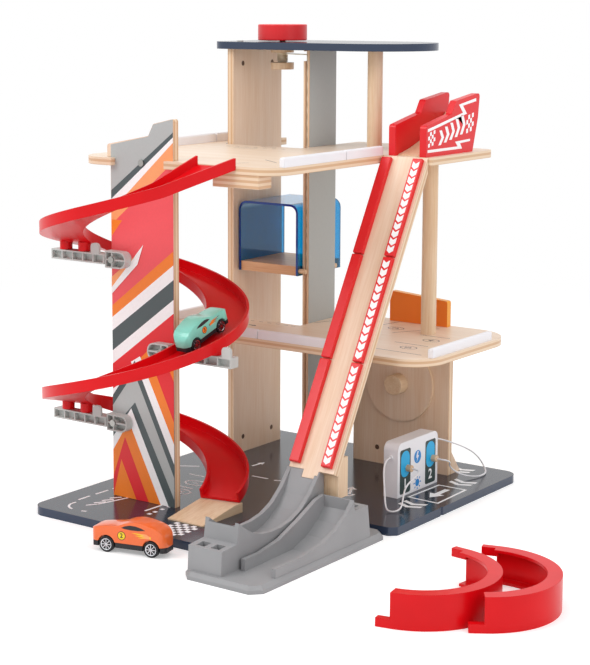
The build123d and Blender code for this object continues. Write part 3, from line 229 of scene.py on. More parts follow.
def birch(name, along, through=None, tilt=0.0, pale="F0D6BE", streak="E6C4A4"):
    """Lacquered birch with its grain along one axis and plywood layers across another."""
    material, tree, shader = finish_start(name, IOR=1.5, Coat_Weight=0.15, Coat_Roughness=0.25)
    source = add(tree, "ShaderNodeTexCoord")
    turned = add(tree, "ShaderNodeMapping", {"Vector": source.outputs["Object"], "Rotation": (-tilt, 0, 0)})
    where = turned.outputs[0]
    fine = grain_noise(tree, where, along, GRAIN_FINE_MM, 4.0)
    broad = grain_noise(tree, where, along, GRAIN_BROAD_MM, 2.0)
    both = add(tree, "ShaderNodeMath", {0: fine, 1: broad}, operation="ADD")
    amount = add(tree, "ShaderNodeMapRange", {"Value": both.outputs[0], "From Min": 0.75, "From Max": 1.3})
    face = add(tree, "ShaderNodeMix", {0: amount.outputs[0], A_COLOUR: srgb(pale), B_COLOUR: srgb(streak)},
               data_type="RGBA")
    colour = face.outputs[MIXED]
    if through:
        straight = add(tree, "ShaderNodeMapping", {"Vector": source.outputs["Normal"],
                                                   "Rotation": (-tilt, 0, 0)}, vector_type="VECTOR")
        on_edge = edge_mask(tree, straight.outputs[0], through)
        place = add(tree, "ShaderNodeSeparateXYZ", {0: where})
        layer = add(tree, "ShaderNodeMath", {0: place.outputs[AXES[through]], 1: LAYER_MM * MM * 2},
                    operation="PINGPONG")
        brown = add(tree, "ShaderNodeMapRange", {"Value": layer.outputs[0], "From Min": LAYER_MM * MM * 0.8,
                                                 "From Max": LAYER_MM * MM * 1.2})
        rough_cut = add(tree, "ShaderNodeMix", {0: brown.outputs[0], A_COLOUR: srgb("EBD0B2"),
                                                B_COLOUR: srgb("D6AE88")}, data_type="RGBA")
        colour = add(tree, "ShaderNodeMix", {0: on_edge, A_COLOUR: colour, B_COLOUR: rough_cut.outputs[MIXED]},
                     data_type="RGBA").outputs[MIXED]
    tree.links.new(colour, shader.inputs["Base Color"])
    rough = add(tree, "ShaderNodeMapRange", {"Value": fine, "To Min": 0.34, "To Max": 0.5})
    tree.links.new(rough.outputs[0], shader.inputs["Roughness"])
    relief(tree, shader, fine, 0.03)
    return material


# %% [markdown]
# Painted wood is birch under an opaque enamel. The paint is even, but a trace of
# the grain shows through as relief, and the gloss changes a little from place to
# place where the brush or the roller left it thinner.

# %% Painted wood
def enamel(name, code, edge_code=None, through="Z", roughness=0.32, grain="Y"):
    """Enamelled wood; a second colour goes on the edges across one axis."""
    material, tree, shader = finish_start(name, IOR=1.5)
    source = add(tree, "ShaderNodeTexCoord")
    where = source.outputs["Object"]
    fine = grain_noise(tree, where, grain, (2.0, 30.0), 3.0)
    cloud = grain_noise(tree, where, grain, (40.0, 60.0), 2.0)
    colour = srgb(code)
    if edge_code:
        on_edge = edge_mask(tree, source.outputs["Normal"], through)
        colour = add(tree, "ShaderNodeMix", {0: on_edge, A_COLOUR: colour, B_COLOUR: srgb(edge_code)},
                     data_type="RGBA").outputs[MIXED]
    drift(tree, shader, colour, cloud, (0.93, 1.05), fine, (roughness - 0.05, roughness + 0.07))
    relief(tree, shader, fine, 0.02, 0.8)
    return material


# %% [markdown]
# Two plastics are moulded: the glossy red of the track and loop halves, and the
# matt grey of the jump base and brackets, whose mould was spark-eroded to a fine
# grit. Both are ABS, so both have an IOR of about 1.53. The grit is under a tenth
# of a millimetre and would vanish in the picture, so it is drawn coarser. The
# cars' undersides and tyres are moulded too, so they share the recipe in black.

# %% Moulded plastics
GRIT_MM = 0.45
SWIRL_MM = 55.0


def moulded(name, code, roughness, grit_mm=GRIT_MM, depth_mm=0.012, shine=0.35):
    """Moulded plastic with a fine grit and a slow drift in tone from the flow of the melt."""
    material, tree, shader = finish_start(name, IOR=1.53, Specular_IOR_Level=shine)
    source = add(tree, "ShaderNodeTexCoord")
    grit = add(tree, "ShaderNodeTexNoise", {"Vector": source.outputs["Object"], "Scale": 1.0 / (grit_mm * MM),
                                            "Detail": 2.0})
    flow = add(tree, "ShaderNodeTexNoise", {"Vector": source.outputs["Object"], "Scale": 1.0 / (SWIRL_MM * MM),
                                            "Detail": 3.0})
    drift(tree, shader, srgb(code), flow.outputs["Fac"], (0.94, 1.05),
          grit.outputs["Fac"], (roughness - 0.05, roughness + 0.06), spread=(0.3, 0.7))
    relief(tree, shader, grit.outputs["Fac"], depth_mm, 0.7)
    return material


# %% [markdown]
# The lift's cabin is bent from tinted clear acrylic. Light passes through the sheet and leaves at the sawn edges,
# which look deeper and brighter than the faces; that look is painted on as a deeper edge colour with less
# transmission.
# The edges are found by their normals, which lie along the lift's length. Acrylic has an IOR of 1.49.

# %% Tinted acrylic
def acrylic(name, code, edge_code):
    """Clear tinted sheet whose sawn edges get a deeper painted colour, standing in for the light that leaves them."""
    material, tree, shader = finish_start(name, IOR=1.49)
    source = add(tree, "ShaderNodeTexCoord")
    normal = add(tree, "ShaderNodeSeparateXYZ", {0: source.outputs["Normal"]})
    facing = add(tree, "ShaderNodeMath", {0: normal.outputs[1]}, operation="ABSOLUTE")
    # Painted light: the sawn edges get a deeper colour and less transmission for the glow of light leaving the sheet.
    edge_glow_mask = add(tree, "ShaderNodeMath", {0: facing.outputs[0], 1: 0.7}, operation="GREATER_THAN")
    colour = add(tree, "ShaderNodeMix", {0: edge_glow_mask.outputs[0], A_COLOUR: srgb(code), B_COLOUR: srgb(edge_code)},
                 data_type="RGBA")
    clear = add(tree, "ShaderNodeMapRange", {"Value": edge_glow_mask.outputs[0], "To Min": 0.78, "To Max": 0.25})
    smear = add(tree, "ShaderNodeTexNoise", {"Vector": source.outputs["Object"], "Scale": 1.0 / (30 * MM)})
    rough = add(tree, "ShaderNodeMapRange", {"Value": smear.outputs["Fac"], "To Min": 0.02, "To Max": 0.1})
    tree.links.new(colour.outputs[MIXED], shader.inputs["Base Color"])
    tree.links.new(clear.outputs[0], shader.inputs["Transmission Weight"])
    tree.links.new(rough.outputs[0], shader.inputs["Roughness"])
    return material


# %% [markdown]
# Screws and nuts are zinc-plated steel: bright, a little bluish, with fine turning
# marks. A metal keeps the shader's default IOR and takes its look from its colour
# and roughness.

# %% Zinc-plated steel
def plated(name, code, roughness=0.3):
    """Bright metal with fine turning marks."""
    material, tree, shader = finish_start(name, Metallic=1.0)
    source = add(tree, "ShaderNodeTexCoord")
    marks = add(tree, "ShaderNodeTexNoise", {"Vector": source.outputs["Object"], "Scale": 1.0 / (0.8 * MM),
                                             "Detail": 3.0})
    drift(tree, shader, srgb(code), marks.outputs["Fac"], (0.8, 1.15),
          marks.outputs["Fac"], (roughness - 0.08, roughness + 0.12))
    return material


# %% [markdown]
# The printed markings are screen-printed ink: flat, opaque, and a little matt. The
# ink is thinner in places, which shows as a faint mottle.

# %% Screen-printed ink
INK_MOTTLE_MM = 2.5
INK_ROUGHNESS = (0.38, 0.5)


def ink(name, code):
    """Flat opaque ink with a faint mottle."""
    material, tree, shader = finish_start(name, IOR=1.5)
    source = add(tree, "ShaderNodeTexCoord")
    mottle = add(tree, "ShaderNodeTexNoise", {"Vector": source.outputs["Object"],
                                              "Scale": 1.0 / (INK_MOTTLE_MM * MM), "Detail": 2.0})
    drift(tree, shader, srgb(code), mottle.outputs["Fac"], (0.95, 1.04), mottle.outputs["Fac"], INK_ROUGHNESS)
    return material


# %% [markdown]
# Each CAD node now gets its finish. Boards differ mostly in which way their grain and their thickness run, so the
# birch is made once for each case that occurs. The decks' copy is also paler: a painted lighter tone for their lit
# tops.

# %% Finishes of the CAD nodes
RAMP_RISE, RAMP_RUN = 335.0, 190.7      # of the launch ramp, in mm
RAMP_TILT = math.atan2(RAMP_RISE, RAMP_RUN)

upright_x = birch("birch_ply_upright_x", "Z", "X")
upright_y = birch("birch_ply_upright_y", "Z", "Y")
# The decks' birch is paler than the uprights': painted light for tops that face the lamps.
deck_ply_lit_tone = birch("birch_ply_deck_lit_tone", "X", "Z", pale="F0DCC8", streak="E8CDB2")
ramp_ply = birch("birch_ply_ramp", "Y", "Z", tilt=RAMP_TILT)
dowel = birch("birch_dowel", "Z", pale="EAD0B2", streak="D9B48C")
block_y = birch("birch_block", "Y", pale="EBD0B0", streak="D8B389")
pin_x = birch("birch_pin", "X", pale="E6C8A6", streak="D2A980")
beech_floor = birch("beech_floor", "X", pale="D9A87E", streak="C48A5C")
navy = enamel("navy_enamel", "2C303D", "2C3A52", roughness=0.16, grain="X")
red_paint = enamel("red_enamel", "E3141F")
white_paint = enamel("white_enamel", "F1EFF3", roughness=0.4)
orange_paint = enamel("orange_enamel", "F37D1E", "F9A51A", through="Y", grain="X")
red_abs = moulded("red_abs", "DA0712", 0.3, grit_mm=1.2, depth_mm=0.004, shine=0.22)
grey_abs = moulded("grey_abs", "98989A", 0.5)
light_grey_abs = moulded("light_grey_abs", "C2C5C2", 0.45)
blue_acrylic = acrylic("blue_acrylic", "0CA0E0", "12409E")
zinc = plated("zinc_steel", "A8A6A2")
nut_steel = plated("browned_steel", "6A5548", roughness=0.4)
tyre = moulded("tyre_rubber", "17171A", 0.6, grit_mm=0.8)
car_under = moulded("car_chassis_abs", "232327", 0.45)

FINISHES = {
    upright_x: ["lift_board_left", "lift_board_right", "wall_brace"],
    upright_y: ["garage_wall", "spiral_panel", "turn_disc"],
    deck_ply_lit_tone: ["upper_deck", "middle_deck", "spiral_top_block"],
    beech_floor: ["cabin_floor"],
    ramp_ply: ["ramp_plank"],
    dowel: ["upper_post", "middle_post", "lift_spindle", "lift_spool", "ramp_prop"],
    block_y: ["start_chute", "exit_wedge", "disc_knob", "disc_axle"],
    pin_x: ["cabin_pins", "plug_1", "plug_2"],
    navy: ["base_board", "helipad_plate"],
    red_paint: ["lift_knob", "ramp_rails_left", "ramp_rails_right", "start_board_left", "start_board_right"],
    white_paint: ["upper_rails", "middle_rails", "charger_body"],
    orange_paint: ["orange_fence"],
    red_abs: ["track_upper", "track_second", "track_third", "track_exit", "loop_half_a", "loop_half_b"],
    grey_abs: ["jump_base"],
    light_grey_abs: ["bracket_upper", "bracket_middle", "bracket_lower"],
    blue_acrylic: ["cabin_shell"],
    zinc: ["frame_bolts", "bracket_screws"],
    nut_steel: ["barrel_nuts"],
    tyre: ["orange_car_wheels_front", "orange_car_wheels_rear", "mint_car_wheels_front", "mint_car_wheels_rear"],
    car_under: ["orange_car_chassis", "mint_car_chassis"],
}

for material, names in FINISHES.items():
    for name in names:
        node = frame["nodes"][name]
        node.data.materials.clear()
        node.data.materials.append(material)
print("finished nodes:", sum(len(names) for names in FINISHES.values()))

# %% [markdown]
# A print is a few hundredths of a millimetre thick. It can be painted on with an
# image, but then it belongs to no shape, so here each one is a thin plate: flat
# outlines are drawn as curves, filled, made a mesh, and laid on the board. Where
# one outline lies inside another, the fill leaves a hole.

# %% Flat prints
PRINT_T = 0.04          # thickness of a print, in mm
LIFT = 0.06             # how far each next layer stands off, in mm
LAY_FLAT = Matrix.Identity(4)
FACE_FRONT = Matrix(((1, 0, 0), (0, 0, -1), (0, 1, 0))).to_4x4()
FACE_RIGHT = Matrix(((0, 0, 1), (1, 0, 0), (0, 1, 0))).to_4x4()


def settle(piece, place):
    """Makes a piece a mesh and then applies its place, so its object ends at the origin."""
    select_only(piece)
    if piece.type != "MESH":
        bpy.ops.object.convert(target="MESH")
    piece.matrix_world = place
    bpy.ops.object.transform_apply(location=True, rotation=True, scale=True)
    return piece


def filled(name, loops, thickness):
    """Flat closed outlines in mm as one filled curve, thickened to both sides of z = 0."""
    curve = bpy.data.curves.new(name, "CURVE")
    curve.dimensions = "2D"
    curve.fill_mode = "BOTH"
    curve.extrude = thickness * MM / 2
    for loop in loops:
        spline = curve.splines.new("POLY")
        spline.points.add(len(loop) - 1)
        for point, (u, v) in zip(spline.points, loop):
            point.co = (u * MM, v * MM, 0.0, 1.0)
        spline.use_cyclic_u = True
    piece = bpy.data.objects.new(name, curve)
    bpy.context.collection.objects.link(piece)
    return piece


def on_face(facing, origin, layer):
    """The place of a print that lies on a face, one layer further off for each print under it."""
    lift = facing.to_3x3() @ Vector((0, 0, (LIFT * (layer + 1)) * MM))
    return Matrix.Translation(origin + lift) @ facing


def print_plate(name, loops, facing, origin, material, layer=0):
    """Flat outlines in mm, filled and laid on a face; origin is a point of that face."""
    piece = filled(name, loops, PRINT_T)
    piece.data.materials.append(material)
    return settle(piece, on_face(facing, origin, layer))


def print_number(name, text, size_mm, facing, origin, material, layer=0, turned=0.0):
    """A printed numeral, centred on its origin."""
    bpy.ops.object.text_add()
    piece = bpy.context.object
    piece.name = name
    piece.data.body = text
    piece.data.size = size_mm * MM
    piece.data.align_x = "CENTER"
    piece.data.align_y = "CENTER"
    piece.data.extrude = PRINT_T * MM / 2
    piece.data.offset = size_mm * 0.02 * MM
    piece.data.materials.append(material)
    return settle(piece, on_face(facing, origin, layer) @ Matrix.Rotation(turned, 4, "Z"))


def one_print(name, pieces, body):
    """Joins prints into one piece that rides on a body."""
    select_only(*pieces)
    bpy.ops.object.join()
    pieces[0].name = name
    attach(pieces[0], body)
    print(name, "faces:", len(pieces[0].data.polygons))


# %% Shapes that the prints use again and again
def bar(a, b, width):
    """A straight stroke between two points."""
    run = (Vector(b) - Vector(a)).normalized()
    side = Vector((-run.y, run.x)) * width / 2
    a, b = Vector(a), Vector(b)
    return [tuple(a - side), tuple(b - side), tuple(b + side), tuple(a + side)]


def oval(centre, rx, ry, steps=32, start=0.0, sweep=360.0):
    """Points on an ellipse, or on a part of one."""
    count = steps if sweep == 360.0 else steps + 1
    turns = [math.radians(start + sweep * i / steps) for i in range(count)]
    return [(centre[0] + rx * math.cos(a), centre[1] + ry * math.sin(a)) for a in turns]


def arc_stroke(centre, radius, width, start, sweep):
    """A curved stroke of even width."""
    outer, inner = (oval(centre, r, r, 20, start, sweep) for r in (radius + width / 2, radius - width / 2))
    return outer + inner[::-1]


def chevron(tip, half_width, depth, thick):
    """A V-shaped stroke whose tip points along -v."""
    raw = [(-half_width, depth), (0, 0), (half_width, depth), (half_width, depth + thick), (0, thick),
           (-half_width, depth + thick)]
    return [(tip[0] + u, tip[1] + v) for u, v in raw]


def arrow(tail, tip, width, head):
    """A straight arrow as one outline."""
    tail, tip = Vector(tail), Vector(tip)
    run = (tip - tail).normalized()
    side = Vector((-run.y, run.x))
    neck = tip - run * head
    return [tuple(tail - side * width / 2), tuple(neck - side * width / 2), tuple(neck - side * head * 0.55),
            tuple(tip), tuple(neck + side * head * 0.55), tuple(neck + side * width / 2),
            tuple(tail + side * width / 2)]


# %% Inks
white_ink = ink("white_ink", "FBFBFC")
road_ink = ink("road_ink", "FAFAFC")
dark_ink = ink("dark_line_ink", "4A4650")
grey_ink = ink("light_grey_ink", "B3B8B7")
slate_ink = ink("slate_ink", "4A5658")
peach_ink = ink("peach_ink", "FBA46A")
coral_ink = ink("coral_ink", "F0555C")
red_ink = ink("red_ink", "E6202A")
orange_ink = ink("orange_ink", "F6821F")
black_ink = ink("black_ink", "1C1B20")
yellow_ink = ink("yellow_ink", "F5D51C")
cyan_ink = ink("cyan_ink", "17AEE6")
petrol_ink = ink("petrol_ink", "16302E")
blue_ink = ink("blue_ink", "1787D2")

# %% [markdown]
# The panel that carries the spiral is printed in broad racing stripes: grey above,
# a coral field, then stripes that fan out downwards and a chevron near the foot.
# The stripes are cut to the panel by clipping each one to its straight sides.

# %% Stripes of the spiral panel
PANEL_X = (49.4, 142.6)
PANEL_Z = (10.3, 462.0)
PANEL_FRONT_Y = 92.0
SKYLINE = [(49.4, 429.6), (106.0, 441.4), (113.5, 455.4), (142.6, 462.4)]


def clip(points, axis, limit, keep_above):
    """Cuts a polygon at a line across one axis."""
    kept = []
    for a, b in zip(points, points[1:] + points[:1]):
        inside_a = (a[axis] >= limit) == keep_above
        inside_b = (b[axis] >= limit) == keep_above
        if inside_a:
            kept.append(a)
        if inside_a != inside_b:
            t = (limit - a[axis]) / (b[axis] - a[axis])
            kept.append((a[0] + (b[0] - a[0]) * t, a[1] + (b[1] - a[1]) * t))
    return kept


def on_panel(points):
    """A polygon cut to the panel's sides and foot."""
    points = clip(clip(points, 0, PANEL_X[0], True), 0, PANEL_X[1], False)
    return clip(points, 1, PANEL_Z[0], True)


def stripe(z_left_low, z_left_high, z_right_low, z_right_high):
    """A band from the panel's left side to its right side."""
    return [(PANEL_X[0], z_left_low), (PANEL_X[1], z_right_low), (PANEL_X[1], z_right_high),
            (PANEL_X[0], z_left_high)]


panel_plan = [
    (grey_ink, [(PANEL_X[0], PANEL_Z[0]), (PANEL_X[1], PANEL_Z[0])] + SKYLINE[::-1]),
    (coral_ink, stripe(200.0, 338.0, 240.0, 426.0)),
    (slate_ink, stripe(366.0, 376.0, 442.0, 447.5)),
    (white_ink, stripe(352.0, 366.0, 436.0, 442.0)),
    (peach_ink, stripe(336.0, 352.0, 414.0, 436.0)),
    (coral_ink, stripe(300.0, 336.0, 340.0, 414.0)),
    (orange_ink, [(49.4, 322.0), (66.0, 342.0), (49.4, 342.0)]),
    (orange_ink, stripe(226.0, 240.0, 296.0, 312.0)),
    (white_ink, stripe(210.0, 226.0, 279.0, 296.0)),
    (slate_ink, stripe(186.0, 210.0, 256.0, 279.0)),
    (white_ink, stripe(170.0, 186.0, 240.0, 256.0)),
    (red_ink, stripe(140.0, 170.0, 190.0, 240.0)),
    (white_ink, [(49.4, 254.0), (89.0, 292.0), (98.0, 316.0), (49.4, 262.0)]),
    (peach_ink, [(49.4, 262.0), (86.0, 302.0), (49.4, 274.0)]),
    (white_ink, stripe(128.0, 140.0, 158.0, 200.0)),
    (orange_ink, [(86.0, 176.0), (142.6, 66.0), (142.6, 200.0), (112.0, 200.0)]),
    (red_ink, [(104.0, 190.0), (142.6, 112.0), (142.6, 160.0), (122.0, 200.0)]),
    (white_ink, [(78.0, 176.0), (92.0, 184.0), (142.6, 86.0), (142.6, 58.0)]),
    (slate_ink, [(49.4, 132.0), (84.0, 178.0), (142.6, 62.0), (142.6, 10.3), (49.4, 10.3)]),
    (grey_ink, [(49.4, 120.0), (83.0, 164.0), (142.6, 46.0), (142.6, 20.0), (84.0, 128.0), (49.4, 92.0)]),
    (white_ink, [(49.4, 82.0), (78.0, 120.0), (134.0, 10.3), (49.4, 10.3)]),
    (orange_ink, [(49.4, 66.0), (74.0, 104.0), (122.0, 10.3), (49.4, 10.3)]),
    (red_ink, [(49.4, 34.0), (68.0, 84.0), (104.0, 10.3), (49.4, 10.3)]),
    (orange_ink, [(49.4, 10.3), (62.0, 56.0), (85.0, 10.3)]),
]
panel_face = at(0, PANEL_FRONT_Y, 0)
panel_pieces = []
for layer, (material, shape) in enumerate(panel_plan):
    panel_pieces.append(print_plate("stripe_%d" % layer, [on_panel(shape)], FACE_FRONT, panel_face, material, layer))
one_print("panel_stripes", panel_pieces, "garage")

# %% [markdown]
# The base board is a car park: white bays, dashes, arrows and zebra bars, and a
# chequered strip where the spiral ends. Some lines run on under the decks, as the
# road would.

# %% Road markings of the base board
LINE = 3.0               # width of a road line, in mm
BOARD_TOP = 10.0         # height of the board's printed face, in mm
base_face = at(0, 0, BOARD_TOP)

road = [bar((29.5, 50), (29.5, 70), LINE), bar((30, 80), (30.5, 102), LINE), bar((31, 110), (31.5, 124), LINE)]
road += [arc_stroke((52, 36), 18.5, 2.6, 165, 95)]
road += [bar((52 + i, 38 + 13 * i), (60 + i, 50 + 13 * i), 3.0) for i in range(4)]
road += [bar((60, 49), (71, 91), LINE), bar((63, 18), (69, 20), LINE), bar((122, 62), (123, 94), LINE)]
road += [bar((131.5, y), (136.5, y), 5.0) for y in (56, 66, 79, 92)]
road += [bar((30, 241), (51, 254), LINE), bar((63, 218), (87, 219), LINE), bar((87, 168), (109, 168), LINE)]
road += [arrow((103, 296), (106, 319), 3.2, 9.0)]
road += [bar((131, 258), (155, 259), LINE), bar((165, 258), (173, 261), LINE)]
road += [arrow((273, 262), (258, 292), 3.4, 12.0), arc_stroke((268, 262), 10.0, 3.4, 300, 80)]
for tip_y in (256, 268, 374, 386):
    road.append(chevron((356, tip_y), 15.0, 7.0, 6.5))
for tip_y in (424, 436):
    road.append(chevron((325, tip_y), 15.0, 7.0, 6.5))
road_pieces = [print_plate("road_lines", road, LAY_FLAT, base_face, road_ink)]
charging_bay = [[(335, 293), (379, 291), (377, 363), (337, 363)], [(338, 296), (376, 294), (374, 360), (340, 360)]]
road_pieces.append(print_plate("charging_bay", charging_bay, LAY_FLAT, base_face, road_ink))
road_pieces.append(print_plate("bay_arrow", [arrow((357, 350), (357, 308), 7.0, 18.0)], LAY_FLAT, base_face,
                               road_ink))

CHECK_MM = 6.0
chequer = []
for i in range(6):
    for j in range(7):
        if (i + j) % 2 == 0:
            u, v = 179 + i * CHECK_MM, 8 + j * CHECK_MM
            chequer.append([(u, v), (u + CHECK_MM, v), (u + CHECK_MM, v + CHECK_MM), (u, v + CHECK_MM)])
road_pieces.append(print_plate("chequered_strip", chequer, LAY_FLAT, base_face, road_ink))

for i, spot in enumerate(((95, 190), (104, 150))):
    rim = [oval(spot, 15.0, 10.5), oval(spot, 12.4, 7.9)]
    road_pieces.append(print_plate("bay_ring_%d" % i, rim, LAY_FLAT, base_face, road_ink))
    road_pieces.append(print_number("bay_number_%d" % i, str(i + 1), 13.0, LAY_FLAT,
                                    at(spot[0], spot[1], BOARD_TOP), road_ink, 0, math.radians(90)))
one_print("base_markings", road_pieces, "garage")

# %% [markdown]
# The decks carry the same kind of marks in a thin dark line on bare birch.

# %% Markings of the decks
THIN = 1.1               # width of a deck's line, in mm
MIDDLE_TOP, UPPER_TOP = 193.0, 415.0     # heights of the decks' printed faces, in mm
middle_face = at(0, 0, MIDDLE_TOP)
mid_lines = [bar((x - 3.0, 316), (x + 3.0, 316), THIN) for x in (89, 102, 115, 128, 141, 152)]
mid_lines += [bar((236, 392), (242, 422), THIN), bar((274, 353), (307, 411), THIN), bar((308, 362), (350, 362), THIN)]
mid_lines += [bar((307, 306), (354, 304), THIN), bar((305, 259), (374, 256), THIN), bar((160, 351), (169, 375), THIN)]
mid_lines += [arrow((101, 292), (114, 290), THIN * 2, 6.0)]
mid_pieces = [print_plate("middle_lines", mid_lines, LAY_FLAT, middle_face, dark_ink)]
for i, spot in enumerate(((262, 381), (338, 338), (339, 285))):
    rim = [oval(spot, 11.0, 8.0), oval(spot, 9.9, 6.9)]
    mid_pieces.append(print_plate("middle_ring_%d" % i, rim, LAY_FLAT, middle_face, dark_ink))
    mid_pieces.append(print_number("middle_number_%d" % i, str(i + 3), 12.0, LAY_FLAT,
                                   at(spot[0], spot[1], MIDDLE_TOP), dark_ink, 0, math.radians(90)))
one_print("middle_markings", mid_pieces, "garage")

up_lines = [bar((41, 324), (36, 334), THIN), bar((85, 281), (114, 292), THIN), bar((100, 318), (127, 312), THIN)]
up_lines += [bar((213, 114), (222, 129), THIN), bar((215, 170), (247, 147), THIN)]
up_lines += [bar((60 + 14 * i, 300), (66 + 14 * i, 300), THIN) for i in range(7)]
up_pieces = [print_plate("upper_lines", up_lines, LAY_FLAT, at(0, 0, UPPER_TOP), dark_ink)]
one_print("upper_markings", up_pieces, "garage")

# %% [markdown]
# The ramp's right rails are printed with a row of white chevrons that point down
# the slope. They lie in the slope's own plane, so their facing is built from it.

# %% Chevrons of the ramp
RAMP_FOOT = at(0, 112.0, 80.0)           # a point of the slope at its foot
RAIL_ABOVE = 6.0                         # how far the rails' tops stand off the slope, in mm
RAMP_LENGTH = math.hypot(RAMP_RISE, RAMP_RUN)
CHEVRON_PITCH = 9.4
up_slope = Vector((0, math.cos(RAMP_TILT), math.sin(RAMP_TILT)))
off_slope = Vector((0, -math.sin(RAMP_TILT), math.cos(RAMP_TILT)))
ON_SLOPE = Matrix((Vector((1, 0, 0)), up_slope, off_slope)).transposed().to_4x4()
rail_top = RAMP_FOOT + off_slope * RAIL_ABOVE * MM
marks = []
for low, high in ((0.012, 0.335), (0.335, 0.67), (0.67, 0.992)):
    first, last = low * RAMP_LENGTH + 4.5, high * RAMP_LENGTH - 4.5
    count = int((last - first) / CHEVRON_PITCH)
    pitch = (last - first) / count
    for i in range(count):
        marks.append(chevron((341.0, first + pitch * i - 1.0), 4.3, 3.2, pitch - 2.6))
one_print("ramp_chevrons", [print_plate("ramp_marks", marks, ON_SLOPE, rail_top, white_ink)], "garage")

# %% [markdown]
# The start board's outer face has a broken white border above and below, with
# chequers at both ends. Between them stands a row of slanted chevrons.

# %% Start board
GATE_SIDE_X = 347.5      # the start board's outer face, in mm
gate_face = at(GATE_SIDE_X, 0, 0)
border = [
    [(307, 447.6), (307, 444.2), (397.2, 461.2), (387.2, 471.2), (419.0, 475.2), (418.6, 478.9),
     (377.7, 472.8), (387.6, 462.8)],
    [(307, 423.4), (307, 420.2), (386.8, 420.2), (381.8, 426.8), (405.5, 428.0), (405.6, 430.7),
     (369.9, 429.4), (376.0, 423.4)],
]
for col in range(4):
    for row in range(4):
        if (col + row) % 2 == 0:
            u, v = 308.0 + col * 4.0, 426.0 + row * 4.2 + col * 0.8
            border.append([(u, v), (u + 4.0, v + 0.8), (u + 4.0, v + 5.0), (u, v + 4.2)])
            u, v = 396.0 + col * 4.4, 437.5 + row * 5.2 + col * 0.9
            border.append([(u, v), (u + 4.4, v + 0.9), (u + 4.4, v + 6.1), (u, v + 5.2)])
for i in range(5):
    u, v = 331.0 + i * 12.5, 427.5 + i * 2.4
    half = 8.6 + i * 0.7
    border.append([(u, v), (u + 6.0, v), (u + 13.0, v + half), (u + 8.0, v + 2 * half), (u + 2.0, v + 2 * half),
                   (u + 7.0, v + half)])
one_print("start_board_marks", [print_plate("start_marks", border, FACE_RIGHT, gate_face, white_ink)], "garage")

# %% [markdown]
# The charging station has two dark displays with a light blue window, a numeral on
# each, and a round sign above and below between them.

# %% Charging station
CHARGER_X, CHARGER_SIGN_Y = 329.5, 325.0     # its printed face and the middle of that face, in mm
charger_face = at(CHARGER_X, 0, 0)


def rounded(u0, v0, u1, v1, r):
    """A rectangle with round corners."""
    points = []
    for cu, cv, start in ((u1 - r, v0 + r, -90), (u1 - r, v1 - r, 0), (u0 + r, v1 - r, 90), (u0 + r, v0 + r, 180)):
        points += oval((cu, cv), r, r, 5, start, 90.0)
    return points


display = []
for i, (u0, u1) in enumerate(((285.0, 309.0), (343.0, 367.0))):
    display.append(print_plate("frame_%d" % i, [rounded(u0, 13, u1, 67, 3.0)], FACE_RIGHT, charger_face,
                               petrol_ink, 0))
    window = rounded(u0 + 2.2, 33, u1 - 2.2, 64.8, 9.0)
    display.append(print_plate("window_%d" % i, [window], FACE_RIGHT, charger_face, cyan_ink, 1))
    display.append(print_number("number_%d" % i, str(i + 1), 17.0, FACE_RIGHT,
                                at(CHARGER_X, (u0 + u1) / 2, 24.0), white_ink, 1))
spark = [(324.2, 58.5), (327.6, 58.5), (325.6, 53.6), (328.4, 53.6), (323.0, 45.0), (324.4, 51.2), (321.8, 51.2)]
display.append(print_plate("spark", [oval((CHARGER_SIGN_Y, 52), 8.0, 8.0), spark], FACE_RIGHT, charger_face, blue_ink))
SUN_V = 20.0
sun = [oval((CHARGER_SIGN_Y, SUN_V), 4.6, 4.6, 20)]
for i in range(8):
    ray = Vector((math.cos(math.radians(45 * i)), math.sin(math.radians(45 * i))))
    middle = Vector((CHARGER_SIGN_Y, SUN_V))
    sun.append(bar(middle + ray * 5.8, middle + ray * 8.6, 1.6))
display.append(print_plate("sun", sun, FACE_RIGHT, charger_face, blue_ink))
one_print("charger_displays", display, "garage")

# %% [markdown]
# The right lift board is painted grey on its outer face. A thin sheet of paint is
# laid over the birch, with the same outline as the board's side.

# %% Grey side of the lift board
LIFT_BOARD_X = 156.0     # the board's outer face, in mm
grey_face = print_plate("grey_side", [[(343.2, 10.2), (401.8, 10.2), (401.8, 534.8), (343.2, 534.8)]],
                        FACE_RIGHT, at(LIFT_BOARD_X, 0, 0), grey_ink)
one_print("lift_board_paint", [grey_face], "garage")

# %% [markdown]
# The hoses of the charging station are soft white elastic cord, two millimetres
# thick. Each is one smooth NURBS curve from the gland on the station's end to the
# plug, through the same points as the CAD tube, so it droops and lies on the board
# where the CAD says it does.

# %% Charging cords
CORD_1 = [(319.75, 278.5, 58.6), (319.75, 270, 58.6), (322.75, 259.5, 50.1), (329.75, 249.5, 38.6),
          (337.75, 238.5, 26.6), (344.25, 230, 16), (350.25, 225, 12), (357.75, 227, 11.4), (360.75, 235.5, 13),
          (357.75, 245, 16.4), (351.75, 257, 22), (346.75, 269.5, 28.8), (346.75, 281, 34), (349, 291.7, 38.5),
          (348, 298, 42), (343, 301.7, 43), (336.5, 301.7, 43)]
CORD_2 = [(319.75, 373.5, 62), (319.75, 382, 62), (324.75, 392.5, 58.5), (333.75, 403.5, 53.5),
          (340.25, 417, 47), (344.75, 431, 39), (347.75, 443, 29), (351.25, 449.5, 18.2),
          (356.75, 445.5, 11.9), (361.25, 434, 11.4), (360.75, 420.5, 11.6), (353.75, 409, 12.8),
          (344.25, 401, 16.4), (339.75, 391.5, 23.4), (340.75, 381, 31.4), (349, 369.8, 38.5),
          (348, 363.5, 42), (343, 359.8, 43), (336.5, 359.8, 43)]
CORD_D = 2.0

